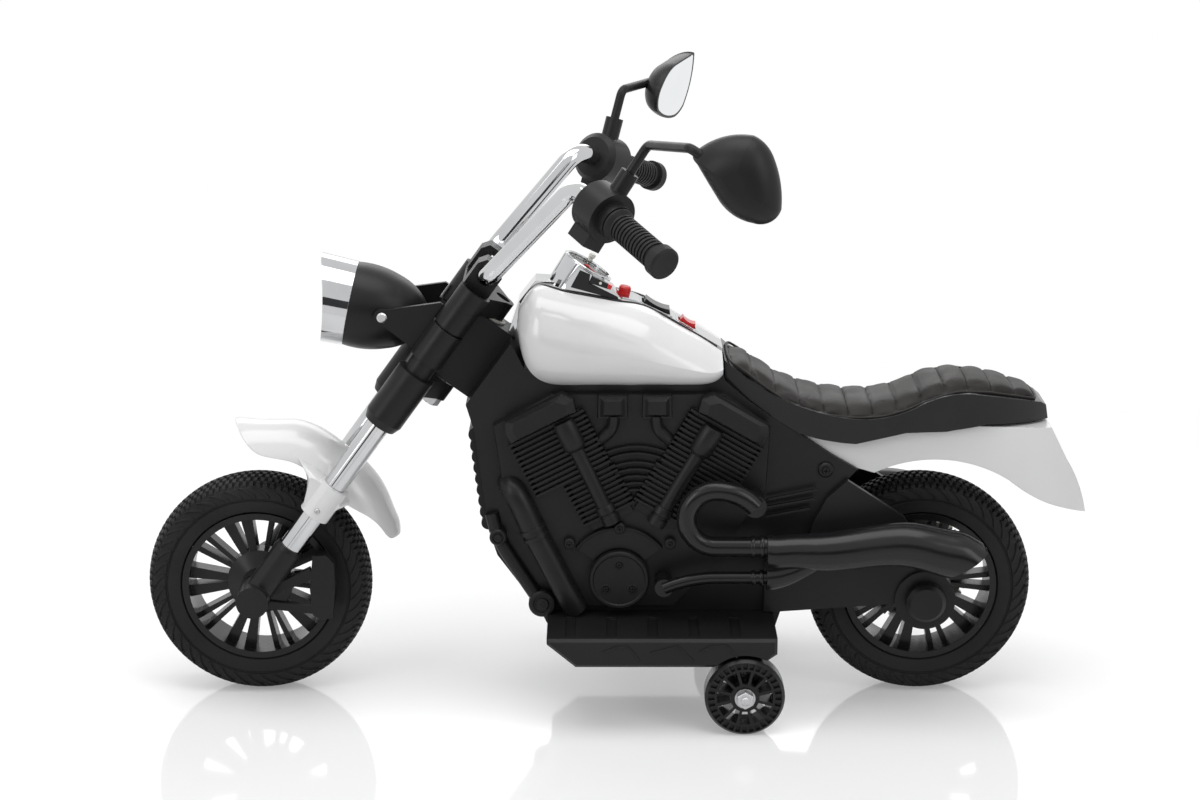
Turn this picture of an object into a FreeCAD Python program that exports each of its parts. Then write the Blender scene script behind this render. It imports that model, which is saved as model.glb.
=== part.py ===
import FreeCAD, Part
import math
import os
import re
import Sketcher

# A child's electric motorbike. Millimetres, +X forward, +Y to the rider's left, +Z up,
# origin on the ground under the middle of the length.

doc = FreeCAD.newDocument("KidsMotorbike")
sheet = doc.addObject("Spreadsheet::Sheet", "Sizes")

SIZES = {
    # clearances and walls
    "run_gap": 0.05,
    "part_gap": 0.4,
    "shell_wall": 3,
    "overrun": 5,
    # wheels and tyres
    "wheel_radius": 112.5,
    "front_axle_x": 357.5,
    "rear_axle_x": -307,
    "tyre_half_width": 28,
    "tyre_wall": 5,
    "bulge_radius": 95,
    "shoulder_half_width": 25.5,
    "shoulder_radius": 106.5,
    "bead_half_width": 22,
    "bead_radius": 76.5,
    "barrel_half_width": 24,
    "barrel_radius": 70,
    "axle_radius": 6,
    "hub_half_width": 35,
    "hub_radius": 17,
    "dish_half_width": 16,
    "dish_edge": 9,
    "dish_radius": 33,
    "spoke_root": 31,
    "spoke_tip": 73,
    "spoke_depth": 17,
    "thick_root": 3.7,
    "thick_tip": 6.2,
    "thin_root": 2,
    "thin_tip": 3,
    # fork, measured along the fork from the front axle
    "rake": 35.8,
    "fork_half_track": 52,
    "stem_setback": 30,
    "tube_radius": 11.5,
    "tube_wall": 2,
    "tube_low": 40,
    "tube_high": 377,
    "leg_radius": 14.5,
    "leg_low": -8,
    "leg_high": 64,
    "leg_lip": 4,
    "leg_boss_radius": 16,
    "leg_boss_inner": 36,
    "leg_cap_outer": 75,
    "axle_seat": 24,
    "caliper_inner": 38,
    "caliper_width": 15,
    "boot_low": 219,
    "boot_lip": 8,
    "boot_radius": 19.5,
    "boot_lip_radius": 16.5,
    "lower_yoke_low": 262,
    "yoke_height": 20,
    "yoke_ring": 19.5,
    "shroud_radius": 14,
    "shroud_collar": 16.5,
    "collar_low": 338,
    "upper_yoke_low": 362,
    "stem_radius": 8,
    "stem_ring": 13,
    "stem_low": 252,
    "nut_radius": 11,
    "nut_height": 9,
    "yoke_front": 9,
    "yoke_side": 12,
    "bar_along": 400,
    "bar_radius": 9.5,
    "bar_wall": 2,
    "clamp_half_depth": 14,
    "clamp_top": 13,
    "clamp_width": 94,
    "clamp_space": 44,
    "neck_low": 284,
    "neck_high": 360,
    "neck_setback": 57,
    "neck_front": 10,
    "neck_half_width": 22,
    "neck_overlap": 4,
    "bush_radius": 13,
    "bush_flange": 17,
    "bush_length": 16,
    # handlebar, in the frame of the whole bike
    "bar_corner_y": 64,
    "bar_bend": 22,
    "bar_top_x": 38,
    "bar_top_y": 100,
    "bar_top_z": 533,
    "bar_reach": 150,
    "housing_start": 30,
    "housing_length": 44,
    "drum_radius": 25,
    "drum_step": 5,
    "drum_neck": 17,
    "drum_neck_length": 9,
    "block_half_width": 11,
    "block_start": 7,
    "block_length": 26,
    "block_drop": 35,
    "socket_radius": 9,
    "socket_reach": 44,
    "socket_floor": 26,
    "housing_turn_right": 22,
    "grip_start": 75,
    "grip_cap": 4,
    "grip_radius": 11.8,
    "rib_radius": 13.2,
    "rib_width": 2.6,
    "rib_pitch": 4.8,
    "grip_cone_radius": 16,
    "grip_cone_length": 6,
    "grip_flange_radius": 15.5,
    "grip_flange_width": 7,
    # mirrors
    "mirror_rod": 4.5,
    "mirror_rise": 74,
    "left_reach_x": -36,
    "left_reach_y": 88,
    "left_reach_z": 12,
    "right_reach_x": -37,
    "right_reach_y": 70,
    "right_reach_z": 0,
    "mirror_bend": 9,
    "mirror_length": 86,
    "mirror_width": 65,
    "mirror_depth": 26,
    "mirror_lip": 3,
    "mirror_wall": 2.5,
    "glass_thickness": 2,
    "mirror_neck": 12,
    # headlight
    "lamp_x": 286,
    "lamp_z": 404.6,
    "lamp_tilt": 12,
    "rim_radius": 43.6,
    "rim_peak": 9.5,
    "rim_length": 27,
    "rim_rear_radius": 42.2,
    "rim_wall": 2.5,
    "lens_radius": 40,
    "lens_set_back": 12,
    "lens_thickness": 3,
    "lens_dome": 3,
    "lamp_shell_length": 78,
    "scoop_radius": 200,
    "scoop_reach": 197,
    "scoop_lift": 8,
    "ear_half_gap": 43,
    "ear_width": 5,
    "ear_ahead": 58.4,
    "ear_along": 307,
    "ear_tip_radius": 8,
    "ear_base_low": 298,
    "ear_base_high": 336,
    "ear_top": 352,
    "ear_front": 21,
    "ear_collar": 17,
    "screw_radius": 2,
    "screw_head": 5,
    "screw_head_height": 3,
    "screw_length": 10,
    # front fender
    "fender_rear_x": 215,
    "fender_length": 162,
    "fender_low_z": 158,
    "fender_height": 123,
    "fender_half_width": 39.5,
    "strut_inner": 33,
    "strut_outer": 61,
    "strut_collar_low": 105,
    "strut_collar_high": 141,
    "strut_collar_radius": 15.5,
    # body shells
    "body_half_width": 54,
    "body_rear_x": -240,
    "body_length": 386,
    "belly_z": 66,
    "body_height": 306,
    "scallop_radius": 7,
    "scallop_half_width": 46,
    "tank_floor_z": 346,
    # engine covers
    "cover_thickness": 8,
    "crank_x": -20,
    "crank_z": 152,
    "vee_angle": 32,
    "fin_start": 64,
    "fin_pitch": 6,
    "fin_half_width": 33,
    "fin_width": 3,
    "fin_rise": 15,
    "barrel_half": 24,
    "barrel_rise": 11,
    "barrel_end": 150,
    "rocker_end": 176,
    "rocker_half_width": 37,
    "rocker_rise": 20,
    "pushrod_half_width": 6,
    "pushrod_rise": 19,
    "pushrod_lean": 34,
    "pushrod_x": 4,
    "pushrod_start": 52,
    "pushrod_end": 148,
    "timing_radius": 50,
    "timing_rise": 13,
    "round_cover_x": -4,
    "round_cover_z": 138,
    "round_cover_radius": 29,
    "round_cover_rise": 20,
    "fan_z": 247,
    "fan_radius": 27,
    "fan_rise": 12,
    "intake_size": 30,
    "intake_z": 298,
    "intake_front_x": 2,
    "intake_rear_x": -40,
    "intake_rise": 15,
    "down_pipe_half_width": 12,
    "down_pipe_rise": 17,
    # exhausts
    "exhaust_y": 92,
    "muffler_front_x": -148,
    "muffler_length": 228,
    "muffler_z": 172,
    "muffler_radius": 24,
    "header_radius": 9.8,
    "header_z": 177,
    "loop_x": -98,
    "loop_radius": 28.5,
    "tail_radius": 52,
    "tail_angle": 47,
    "lower_header_radius": 6,
    "lower_header_z": 145.4,
    "lower_header_bend_x": -100,
    "lower_header_bend": 126,
    "lower_header_end_x": -48,
    "stub_radius": 11,
    "lower_stub_radius": 9,
    # swingarms, rear axle and drive
    "arm_width": 8,
    "arm_boss_radius": 30,
    "arm_boss_inner": 44.5,
    "arm_boss_outer": 66,
    "arm_rear_x": -340,
    "arm_length": 192,
    "arm_low_z": 92,
    "arm_height": 143,
    "axle_cap_radius": 19.5,
    "axle_cap_outer": 79,
    "spacer_radius": 10,
    "gear_module": 2,
    "gear_width": 8,
    "gear_slack": 0.4,
    "pinion_angle": 48.5,
    "pinion_shaft": 3,
    "pinion_shaft_length": 14,
    "gearbox_length": 50,
    "gearbox_height": 52,
    "gearbox_side": 10,
    "motor_radius": 12,
    "motor_length": 40,
    # tank panels and dash console
    "tank_x": -6,
    "tank_z": 378,
    "tank_half_length": 100,
    "tank_half_height": 49,
    "tank_swell": 20.5,
    "tank_seam": 17,
    "tank_wall": 3,
    "pod_x": 26,
    "pod_z": 437,
    "pod_tilt": 31.5,
    "pod_radius": 26.5,
    "pod_height": 36,
    "lens_recess": 3,
    "gauge_radius": 22.5,
    "gauge_thickness": 1.5,
    "rocker_x": -40.5,
    "rocker_length": 30,
    "rocker_span": 20,
    "rocker_depth": 9,
    "rocker_lift": 5,
    "power_x": -71,
    "power_length": 19,
    "power_span": 14,
    "switch_frame": 3,
    "switch_box": 14,
    "pivot_radius": 2,
    "pivot_drop": 6,
    "pivot_reach": 2,
    "horn_x": -9,
    "horn_radius": 6,
    "horn_lift": 8,
    "horn_stem": 14,
    "horn_flange": 7.5,
    "horn_travel": 3,
    "horn_wall": 3,
    # seat and rear fender
    "seat_front_x": -107,
    "seat_length": 321,
    "seat_low_z": 273,
    "seat_rise": 82,
    "seat_half_width": 58,
    "seat_wall": 3,
    "pad_inset": 5,
    "pad_crown": 8,
    "pad_groove": 3,
    "pad_sink": 6,
    "guard_rear_x": -470,
    "guard_length": 290,
    "guard_low_z": 188,
    "guard_height": 112,
    "guard_half_width": 48,
    "guard_wall": 3,
    # footboards, pedal and stabilisers
    "board_front_x": 66,
    "board_length": 223,
    "board_low_z": 69,
    "board_thickness": 29,
    "board_outer": 138,
    "board_chamfer": 3,
    "board_tread_depth": 2,
    "board_margin": 10,
    "stabiliser_x": -126,
    "stabiliser_radius": 39,
    "stabiliser_inner": 115,
    "stabiliser_width": 26,
    "stabiliser_window_inner": 14,
    "stabiliser_window_outer": 27,
    "stabiliser_tooth_inner": 29.5,
    "stabiliser_tooth_outer": 35.5,
    "stabiliser_tooth_depth": 3,
    "well_radius": 42.5,
    "bolt_radius": 4,
    "washer_radius": 10,
    "washer_thickness": 1.5,
    "nut_size": 7.5,
    "nut_thickness": 6,
    "bracket_plate_outer": 114,
    "bracket_thickness": 4,
    "bracket_half_length": 15,
    "bracket_drop": 36,
    "pedal_rear_x": -36,
    "pedal_length": 74,
    "pedal_y": -97,
    "pedal_width": 44,
    "pedal_thickness": 5,
    "pedal_angle": 11,
    "pedal_pin": 4,
    "pedal_pin_width": 60,
    # inside the body
    "battery_x": -30,
    "battery_length": 70,
    "battery_width": 70,
    "battery_height": 100,
    "battery_round": 4,
    "speaker_x": 34,
    "speaker_radius": 27,
    "speaker_height": 16,
    "speaker_magnet_radius": 14,
    "speaker_magnet_height": 10,
    "board_x": -36,
    "circuit_length": 54,
    "circuit_width": 40,
    "circuit_height": 10,
    "loom_radius": 2.5,
    "loom_x": 4,
    "loom_bend": 12,
    "charge_x": -170,
    "charge_z": 236,
    "charge_flange": 9,
    "charge_flange_thickness": 2,
    "charge_barrel": 6.5,
    "charge_depth": 18,
    "charge_bore": 2.75,
    "charge_bore_depth": 11.5,
}

for row, (name, value) in enumerate(SIZES.items(), start=1):
    sheet.set(f"A{row}", name)
    sheet.set(f"B{row}", str(value))
    sheet.setAlias(f"B{row}", name)
doc.recompute()

WORD = re.compile(r"[A-Za-z_]+")
UP = FreeCAD.Vector(0, 0, 1)
ACROSS = FreeCAD.Vector(0, 1, 0)
nodes = []


def number(text):
    return float(sheet.evalExpression(text))


def bound(text):
    return WORD.sub(lambda hit: f"Sizes.{hit.group(0)}" if hit.group(0) in SIZES else hit.group(0), text)


def spot(pair):
    return FreeCAD.Vector(number(pair[0]), number(pair[1]), 0)


def shares(points, x, length, z, height):
    """Outline points given as shares of a length and a height, from one corner of the form."""
    result = []
    for point in points:
        pair = (f"{x} + {point[-2]} * {length}", f"{z} + {point[-1]} * {height}")
        result.append(pair if len(point) == 2 else (point[0],) + pair)
    return result


def fork_point(along, ahead):
    """A point of the middle plane given along the fork and ahead of it."""
    return (
        f"front_axle_x - ({along}) * sin(rake * 1 deg) + ({ahead}) * cos(rake * 1 deg)",
        f"wheel_radius + ({along}) * cos(rake * 1 deg) + ({ahead}) * sin(rake * 1 deg)",
    )


def polar_point(x, z, reach, side, angle):
    """A point at a reach along a direction leaning forward by an angle, and to one side of it."""
    return (
        f"{x} + ({reach}) * sin({angle} * 1 deg) + ({side}) * cos({angle} * 1 deg)",
        f"{z} + ({reach}) * cos({angle} * 1 deg) - ({side}) * sin({angle} * 1 deg)",
    )


def hold(sketch, kind, geometry, position, text):
    index = sketch.addConstraint(Sketcher.Constraint(kind, -1, 1, geometry, position, number(text)))
    sketch.setExpression(f"Constraints[{index}]", bound(text))


def hold_point(sketch, geometry, position, pair):
    hold(sketch, "DistanceX", geometry, position, pair[0])
    hold(sketch, "DistanceY", geometry, position, pair[1])


def add_circle(sketch, pair, radius):
    index = sketch.addGeometry(Part.Circle(spot(pair), UP, number(radius)), False)
    hold_point(sketch, index, 3, pair)
    limit = sketch.addConstraint(Sketcher.Constraint("Radius", index, number(radius)))
    sketch.setExpression(f"Constraints[{limit}]", bound(radius))


def add_line(sketch, points, closed):
    """Straight edges between pairs; ("arc", x, z) between two pairs bends that edge through the point."""
    corners = [point for point in points if len(point) == 2]
    bends = {}
    passed = 0
    for point in points:
        if len(point) == 2:
            passed += 1
        else:
            bends[passed - 1] = point[1:]
    spots = [spot(corner) for corner in corners]
    count = len(corners)
    ends = []
    for step in range(count if closed else count - 1):
        start = spots[step]
        stop = spots[(step + 1) % count]
        if step in bends:
            middle = spot(bends[step])
            left = (middle - start).cross(stop - middle).z > 0
            arc = Part.Arc(start, middle, stop) if left else Part.Arc(stop, middle, start)
            ends.append((sketch.addGeometry(arc, False), 1 if left else 2, 2 if left else 1))
        else:
            ends.append((sketch.addGeometry(Part.LineSegment(start, stop), False), 1, 2))
    for step, (edge, first, last) in enumerate(ends):
        if closed or step + 1 < len(ends):
            following = ends[(step + 1) % len(ends)]
            sketch.addConstraint(Sketcher.Constraint("Coincident", edge, last, following[0], following[1]))
        hold_point(sketch, edge, first, corners[step])
    if not closed:
        hold_point(sketch, ends[-1][0], ends[-1][2], corners[-1])
    for step, pair in bends.items():
        mark = sketch.addGeometry(Part.Point(spot(pair)), True)
        hold_point(sketch, mark, 1, pair)
        sketch.addConstraint(Sketcher.Constraint("PointOnObject", mark, 1, ends[step][0]))


def make_body(label):
    return doc.addObject("PartDesign::Body", label)


def draw(item, word, plane, loops=(), circles=(), offset=None, closed=True):
    sketch = item.newObject("Sketcher::SketchObject", f"{item.Name}_{word}_sketch")
    support = [feature for feature in item.Origin.OriginFeatures if feature.Role == plane][0]
    sketch.AttachmentSupport = [(support, "")]
    sketch.MapMode = "FlatFace"
    if offset:
        sketch.setExpression("AttachmentOffset.Base.z", bound(offset))
    for loop in loops:
        add_line(sketch, loop, closed)
    for pair, radius in circles:
        add_circle(sketch, pair, radius)
    doc.recompute()
    return sketch


def pad(item, word, sketch, length, both=False, flip=False):
    feature = item.newObject("PartDesign::Pad", f"{item.Name}_{word}")
    feature.Profile = sketch
    feature.SideType = "Symmetric" if both else "One side"
    feature.Reversed = flip
    feature.setExpression("Length", bound(length))
    doc.recompute()
    return feature


def pocket(item, word, sketch, length=None, both=False, flip=False):
    before = item.Shape.Volume
    feature = item.newObject("PartDesign::Pocket", f"{item.Name}_{word}")
    feature.Profile = sketch
    feature.SideType = "Symmetric" if both else "One side"
    feature.Reversed = flip
    if length:
        feature.setExpression("Length", bound(length))
    else:
        feature.Type = "ThroughAll"
    doc.recompute()
    if item.Shape.Volume >= before:
        raise RuntimeError(f"{item.Name} {word} removes nothing")
    return feature


def turn(item, word, sketch, axis):
    feature = item.newObject("PartDesign::Revolution", f"{item.Name}_{word}")
    feature.Profile = sketch
    feature.ReferenceAxis = (sketch, [axis])
    feature.Angle = 360
    doc.recompute()
    return feature


def ring_of(item, word, original, sketch, count):
    feature = item.newObject("PartDesign::PolarPattern", f"{item.Name}_{word}")
    feature.Originals = [original]
    feature.Axis = (sketch, ["N_Axis"])
    feature.Angle = 360
    feature.Occurrences = count
    item.Tip = feature
    doc.recompute()
    return feature


def loft(item, word, kind, sections):
    feature = item.newObject(f"PartDesign::{kind}Loft", f"{item.Name}_{word}")
    feature.Profile = sections[0]
    feature.Sections = sections[1:]
    doc.recompute()
    return feature


def pipe(item, word, profile, spine):
    feature = item.newObject("PartDesign::AdditivePipe", f"{item.Name}_{word}")
    feature.Profile = profile
    feature.Spine = (spine, [f"Edge{index + 1}" for index in range(len(spine.Shape.Edges))])
    doc.recompute()
    return feature


def place(item, x="0", y="0", z="0", angle="0"):
    """Set a piece down at a point, leaning forward about the cross axis by an angle."""
    item.Placement = FreeCAD.Placement(FreeCAD.Vector(), FreeCAD.Rotation(ACROSS, number(angle)))
    for key, text in (("x", x), ("y", y), ("z", z)):
        item.setExpression(f"Placement.Base.{key}", bound(text))
    doc.recompute()
    return item


def place_on_fork(item, y="0"):
    return place(item, "front_axle_x", y, "wheel_radius", "-rake")


def cylinder(label, radius, height):
    item = doc.addObject("Part::Cylinder", label)
    item.setExpression("Radius", bound(radius))
    item.setExpression("Height", bound(height))
    return item


def across_cylinder(label, radius, start, stop, x, z):
    """A round bar lying across the bike between two distances from the middle plane."""
    item = cylinder(label, radius, f"({stop}) - ({start})")
    item.Placement = FreeCAD.Placement(FreeCAD.Vector(), FreeCAD.Rotation(UP, ACROSS))
    for key, text in (("x", x), ("y", start), ("z", z)):
        item.setExpression(f"Placement.Base.{key}", bound(text))
    return item


def box(label, length, width, height, x, y, z, angle="0"):
    item = doc.addObject("Part::Box", label)
    item.setExpression("Length", bound(length))
    item.setExpression("Width", bound(width))
    item.setExpression("Height", bound(height))
    return place(item, x, y, z, angle)


def fuse(label, parts):
    item = doc.addObject("Part::MultiFuse", label)
    item.Shapes = parts
    item.Refine = False
    doc.recompute()
    return item


def cut(label, base, tools):
    item = doc.addObject("Part::Cut", label)
    item.Base = base
    item.Tool = tools[0] if len(tools) == 1 else fuse(f"{label}_tools", tools)
    item.Refine = False
    doc.recompute()
    return item


def twin(label, source):
    item = doc.addObject("Part::Mirroring", label)
    item.Source = source
    item.Normal = ACROSS
    doc.recompute()
    return item


def group(label, parts):
    item = doc.addObject("Part::Compound", label)
    item.Links = parts
    doc.recompute()
    return item


def node(item, label):
    item.Label = label
    nodes.append(item)
    return item


def solid_feature(label, shape):
    item = doc.addObject("Part::Feature", label)
    item.Shape = shape
    return item


def bent_wire(points, bend):
    """A line through points in space with every inner corner rounded."""
    edges = []
    start = points[0]
    for before, corner, after in zip(points, points[1:], points[2:]):
        back = (before - corner).normalize()
        ahead = (after - corner).normalize()
        half = back.getAngle(ahead) / 2
        reach = bend / math.tan(half)
        middle = (back + ahead).normalize()
        first = corner + back * reach
        last = corner + ahead * reach
        crest = corner + middle * (bend / math.sin(half) - bend)
        edges.append(Part.makeLine(start, first))
        edges.append(Part.Arc(first, crest, last).toShape())
        start = last
    edges.append(Part.makeLine(start, points[-1]))
    return Part.Wire(edges)


def swept_rod(wire, radius):
    start = wire.Edges[0]
    direction = start.tangentAt(start.FirstParameter)
    ring = Part.Wire(Part.makeCircle(radius, start.valueAt(start.FirstParameter), direction))
    return wire.makePipeShell([ring], True, False)


# Tyres and wheels

inner_shoulder = ("shoulder_half_width - 0.8 * tyre_wall", "shoulder_radius - 0.8 * tyre_wall")


def make_tyre(label, x):
    item = make_body(label)
    section = draw(item, "section", "YZ_Plane", [[
        ("-bead_half_width", "bead_radius"),
        ("arc", "-tyre_half_width", "bulge_radius"),
        ("-shoulder_half_width", "shoulder_radius"),
        ("arc", "0", "wheel_radius"),
        ("shoulder_half_width", "shoulder_radius"),
        ("arc", "tyre_half_width", "bulge_radius"),
        ("bead_half_width", "bead_radius"),
        ("bead_half_width - tyre_wall", "bead_radius"),
        ("arc", "tyre_half_width - tyre_wall", "bulge_radius"),
        inner_shoulder,
        ("arc", "0", "wheel_radius - tyre_wall"),
        (f"-({inner_shoulder[0]})", inner_shoulder[1]),
        ("arc", "tyre_wall - tyre_half_width", "bulge_radius"),
        ("tyre_wall - bead_half_width", "bead_radius"),
    ]])
    turn(item, "turn", section, "H_Axis")
    return node(place(item, x, "0", "wheel_radius"), label)


def spoke(angle, root, tip):
    return [
        polar_point("0", "0", "spoke_root", f"-{root}", angle),
        polar_point("0", "0", "spoke_tip", f"-{tip}", angle),
        polar_point("0", "0", "spoke_tip", tip, angle),
        polar_point("0", "0", "spoke_root", root, angle),
    ]


def make_wheel(label, x):
    item = make_body(label)
    bore = "axle_radius + run_gap"
    hub = draw(item, "hub", "YZ_Plane", [[
        ("-hub_half_width", bore),
        ("-hub_half_width", "hub_radius"),
        ("-dish_half_width", "hub_radius"),
        ("-dish_edge", "dish_radius"),
        ("dish_edge", "dish_radius"),
        ("dish_half_width", "hub_radius"),
        ("hub_half_width", "hub_radius"),
        ("hub_half_width", bore),
    ]])
    turn(item, "hub", hub, "H_Axis")
    thick_angle_shares = (10, 26)
    thin_angle_shares = (48, 60)
    loops = [spoke(angle, "thick_root", "thick_tip") for angle in thick_angle_shares]
    loops += [spoke(angle, "thin_root", "thin_tip") for angle in thin_angle_shares]
    arms = draw(item, "spokes", "XZ_Plane", loops)
    first = pad(item, "spokes", arms, "spoke_depth", both=True)
    ring_of(item, "spoke_ring", first, arms, 5)
    barrel = draw(item, "barrel", "YZ_Plane", [[
        ("-barrel_half_width", "barrel_radius"),
        ("-barrel_half_width", "bead_radius"),
        ("barrel_half_width", "bead_radius"),
        ("barrel_half_width", "barrel_radius"),
    ]])
    turn(item, "barrel", barrel, "H_Axis")
    return node(place(item, x, "0", "wheel_radius"), label)


make_tyre("front_tyre", "front_axle_x")
make_wheel("front_wheel", "front_axle_x")
make_tyre("rear_tyre", "rear_axle_x")
make_wheel("rear_wheel", "rear_axle_x")

# Fork, drawn upright from the front axle and leaned back by the rake

tube = make_body("fork_tube")
tube_ring = draw(tube, "ring", "XY_Plane", [], [(("0", "0"), "tube_radius"),
                                                (("0", "0"), "tube_radius - tube_wall")], "tube_low")
pad(tube, "pad", tube_ring, "tube_high - tube_low")
place_on_fork(tube, "fork_half_track")
node(group("fork_tube_pair", [tube, twin("fork_tube_right", tube)]), "fork_tubes")

leg = make_body("fork_leg")
leg_section = draw(leg, "section", "XZ_Plane", [[
    ("0", "leg_low"),
    ("leg_radius", "leg_low"),
    ("leg_radius", "leg_high - leg_lip"),
    ("leg_radius - 0.3 * leg_lip", "leg_high"),
    ("tube_radius", "leg_high"),
    ("tube_radius", "tube_low"),
    ("0", "tube_low"),
]])
turn(leg, "turn", leg_section, "V_Axis")
boss = draw(leg, "boss", "XZ_Plane", [], [(("0", "0"), "leg_boss_radius")],
            "fork_half_track - leg_cap_outer")
pad(leg, "boss", boss, "leg_cap_outer - leg_boss_inner")
caliper_shares = [(-1.45, 4.24), (-2.07, 4.77), (-2.81, 4.61), (-3.78, 3.30), (-4.75, 1.64), (-4.28, 1.12),
                  (-3.62, 1.08), (-2.51, 2.39)]
upper_stay_shares = [(-0.3, 0.7), (-1.75, 3.5), (-2.35, 3.1), (-0.75, 0.4)]
lower_stay_shares = [(-0.7, 0.1), (-3.4, 1.6), (-3.6, 1.15), (-0.9, -0.35)]
caliper_outer = "fork_half_track - caliper_inner - caliper_width"


def leg_loop(points):
    return shares(points, "0", "leg_boss_radius", "0", "leg_boss_radius")


caliper = draw(leg, "caliper", "XZ_Plane", [leg_loop(caliper_shares)], offset=caliper_outer)
pad(leg, "caliper", caliper, "caliper_width")
stays = draw(leg, "stays", "XZ_Plane", [leg_loop(upper_stay_shares), leg_loop(lower_stay_shares)],
             offset=caliper_outer)
pad(leg, "stays", stays, "0.5 * caliper_width")
seat_hole = draw(leg, "axle_seat", "XZ_Plane", [], [(("0", "0"), "axle_radius")],
                 "fork_half_track - leg_boss_inner")
pocket(leg, "axle_seat", seat_hole, "axle_seat")
place_on_fork(leg, "fork_half_track")
node(group("fork_leg_pair", [leg, twin("fork_leg_right", leg)]), "fork_legs")

front_axle = across_cylinder("front_axle_rod", "axle_radius", "-leg_boss_inner - axle_seat",
                             "leg_boss_inner + axle_seat", "front_axle_x", "wheel_radius")
node(front_axle, "front_axle")

shroud = make_body("fork_shroud")
shroud_section = draw(shroud, "section", "XZ_Plane", [[
    ("tube_radius", "boot_low"),
    ("boot_lip_radius", "boot_low"),
    ("boot_radius", "boot_low + boot_lip"),
    ("boot_radius", "lower_yoke_low"),
    ("tube_radius", "lower_yoke_low"),
], [
    ("tube_radius", "lower_yoke_low + yoke_height"),
    ("shroud_radius", "lower_yoke_low + yoke_height"),
    ("shroud_radius", "collar_low"),
    ("shroud_collar", "collar_low"),
    ("shroud_collar", "upper_yoke_low"),
    ("tube_radius", "upper_yoke_low"),
]])
turn(shroud, "turn", shroud_section, "V_Axis")
place_on_fork(shroud, "fork_half_track")
node(group("fork_shroud_pair", [shroud, twin("fork_shroud_right", shroud)]), "fork_shrouds")


def make_yoke(label, low, ring):
    item = make_body(label)
    plate = draw(item, "plate", "XY_Plane", [[
        ("yoke_front", "-fork_half_track"),
        ("yoke_front", "fork_half_track"),
        ("-yoke_side", "fork_half_track"),
        ("-stem_setback - 0.5 * stem_ring", "0.8 * stem_ring"),
        ("-stem_setback - 0.5 * stem_ring", "-0.8 * stem_ring"),
        ("-yoke_side", "-fork_half_track"),
    ]], offset=low)
    pad(item, "plate", plate, "yoke_height")
    tubes = [("0", "-fork_half_track"), ("0", "fork_half_track")]
    stem = ("-stem_setback", "0")
    rings = draw(item, "rings", "XY_Plane", [], [(pair, ring) for pair in tubes] + [(stem, "stem_ring")], low)
    pad(item, "rings", rings, "yoke_height")
    holes = draw(item, "holes", "XY_Plane", [],
                 [(pair, "tube_radius") for pair in tubes] + [(stem, "stem_radius")])
    pocket(item, "holes", holes, flip=True)
    return item


node(place_on_fork(make_yoke("lower_yoke", "lower_yoke_low", "yoke_ring")), "lower_yoke")

upper_yoke = make_yoke("upper_yoke", "upper_yoke_low", "shroud_collar")
clamp_base = "upper_yoke_low + yoke_height"
clamps = draw(upper_yoke, "clamps", "XZ_Plane", [[
    ("-clamp_half_depth", f"{clamp_base} - neck_overlap"),
    ("clamp_half_depth", f"{clamp_base} - neck_overlap"),
    ("clamp_half_depth", "bar_along + 0.4 * clamp_top"),
    ("0.6 * clamp_half_depth", "bar_along + clamp_top"),
    ("-0.6 * clamp_half_depth", "bar_along + clamp_top"),
    ("-clamp_half_depth", "bar_along + 0.4 * clamp_top"),
]])
pad(upper_yoke, "clamps", clamps, "clamp_width", both=True)
gap = draw(upper_yoke, "gap", "XZ_Plane", [[
    ("-clamp_half_depth - overrun", clamp_base),
    ("clamp_half_depth + overrun", clamp_base),
    ("clamp_half_depth + overrun", "bar_along + clamp_top + overrun"),
    ("-clamp_half_depth - overrun", "bar_along + clamp_top + overrun"),
]])
pocket(upper_yoke, "gap", gap, "clamp_space", both=True)
bar_hole = draw(upper_yoke, "bar_hole", "XZ_Plane", [], [(("0", "bar_along"), "bar_radius")])
pocket(upper_yoke, "bar_hole", bar_hole, "clamp_width + overrun", both=True)
node(place_on_fork(upper_yoke), "upper_yoke")

stem_foot = fork_point("stem_low", "-stem_setback")
stem = cylinder("steering_stem_rod", "stem_radius", "tube_high - stem_low")
node(place(stem, stem_foot[0], "0", stem_foot[1], "-rake"), "steering_stem")

bushes = make_body("head_bush_pair")
bush_bore = "stem_radius + run_gap"
bush_section = draw(bushes, "section", "XZ_Plane", [[
    (bush_bore, "lower_yoke_low + yoke_height + run_gap"),
    ("bush_flange", "lower_yoke_low + yoke_height + run_gap"),
    ("bush_flange", "neck_low"),
    ("bush_radius", "neck_low"),
    ("bush_radius", "neck_low + bush_length"),
    (bush_bore, "neck_low + bush_length"),
], [
    (bush_bore, "neck_high - bush_length"),
    ("bush_radius", "neck_high - bush_length"),
    ("bush_radius", "neck_high"),
    ("bush_flange", "neck_high"),
    ("bush_flange", "upper_yoke_low - run_gap"),
    (bush_bore, "upper_yoke_low - run_gap"),
]])
turn(bushes, "turn", bush_section, "V_Axis")
axis_foot = fork_point("0", "-stem_setback")
node(place(bushes, axis_foot[0], "0", axis_foot[1], "-rake"), "head_bushes")

# Front fender: an arched skin through stations, with a moulded strut and collar on each fork tube

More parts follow.
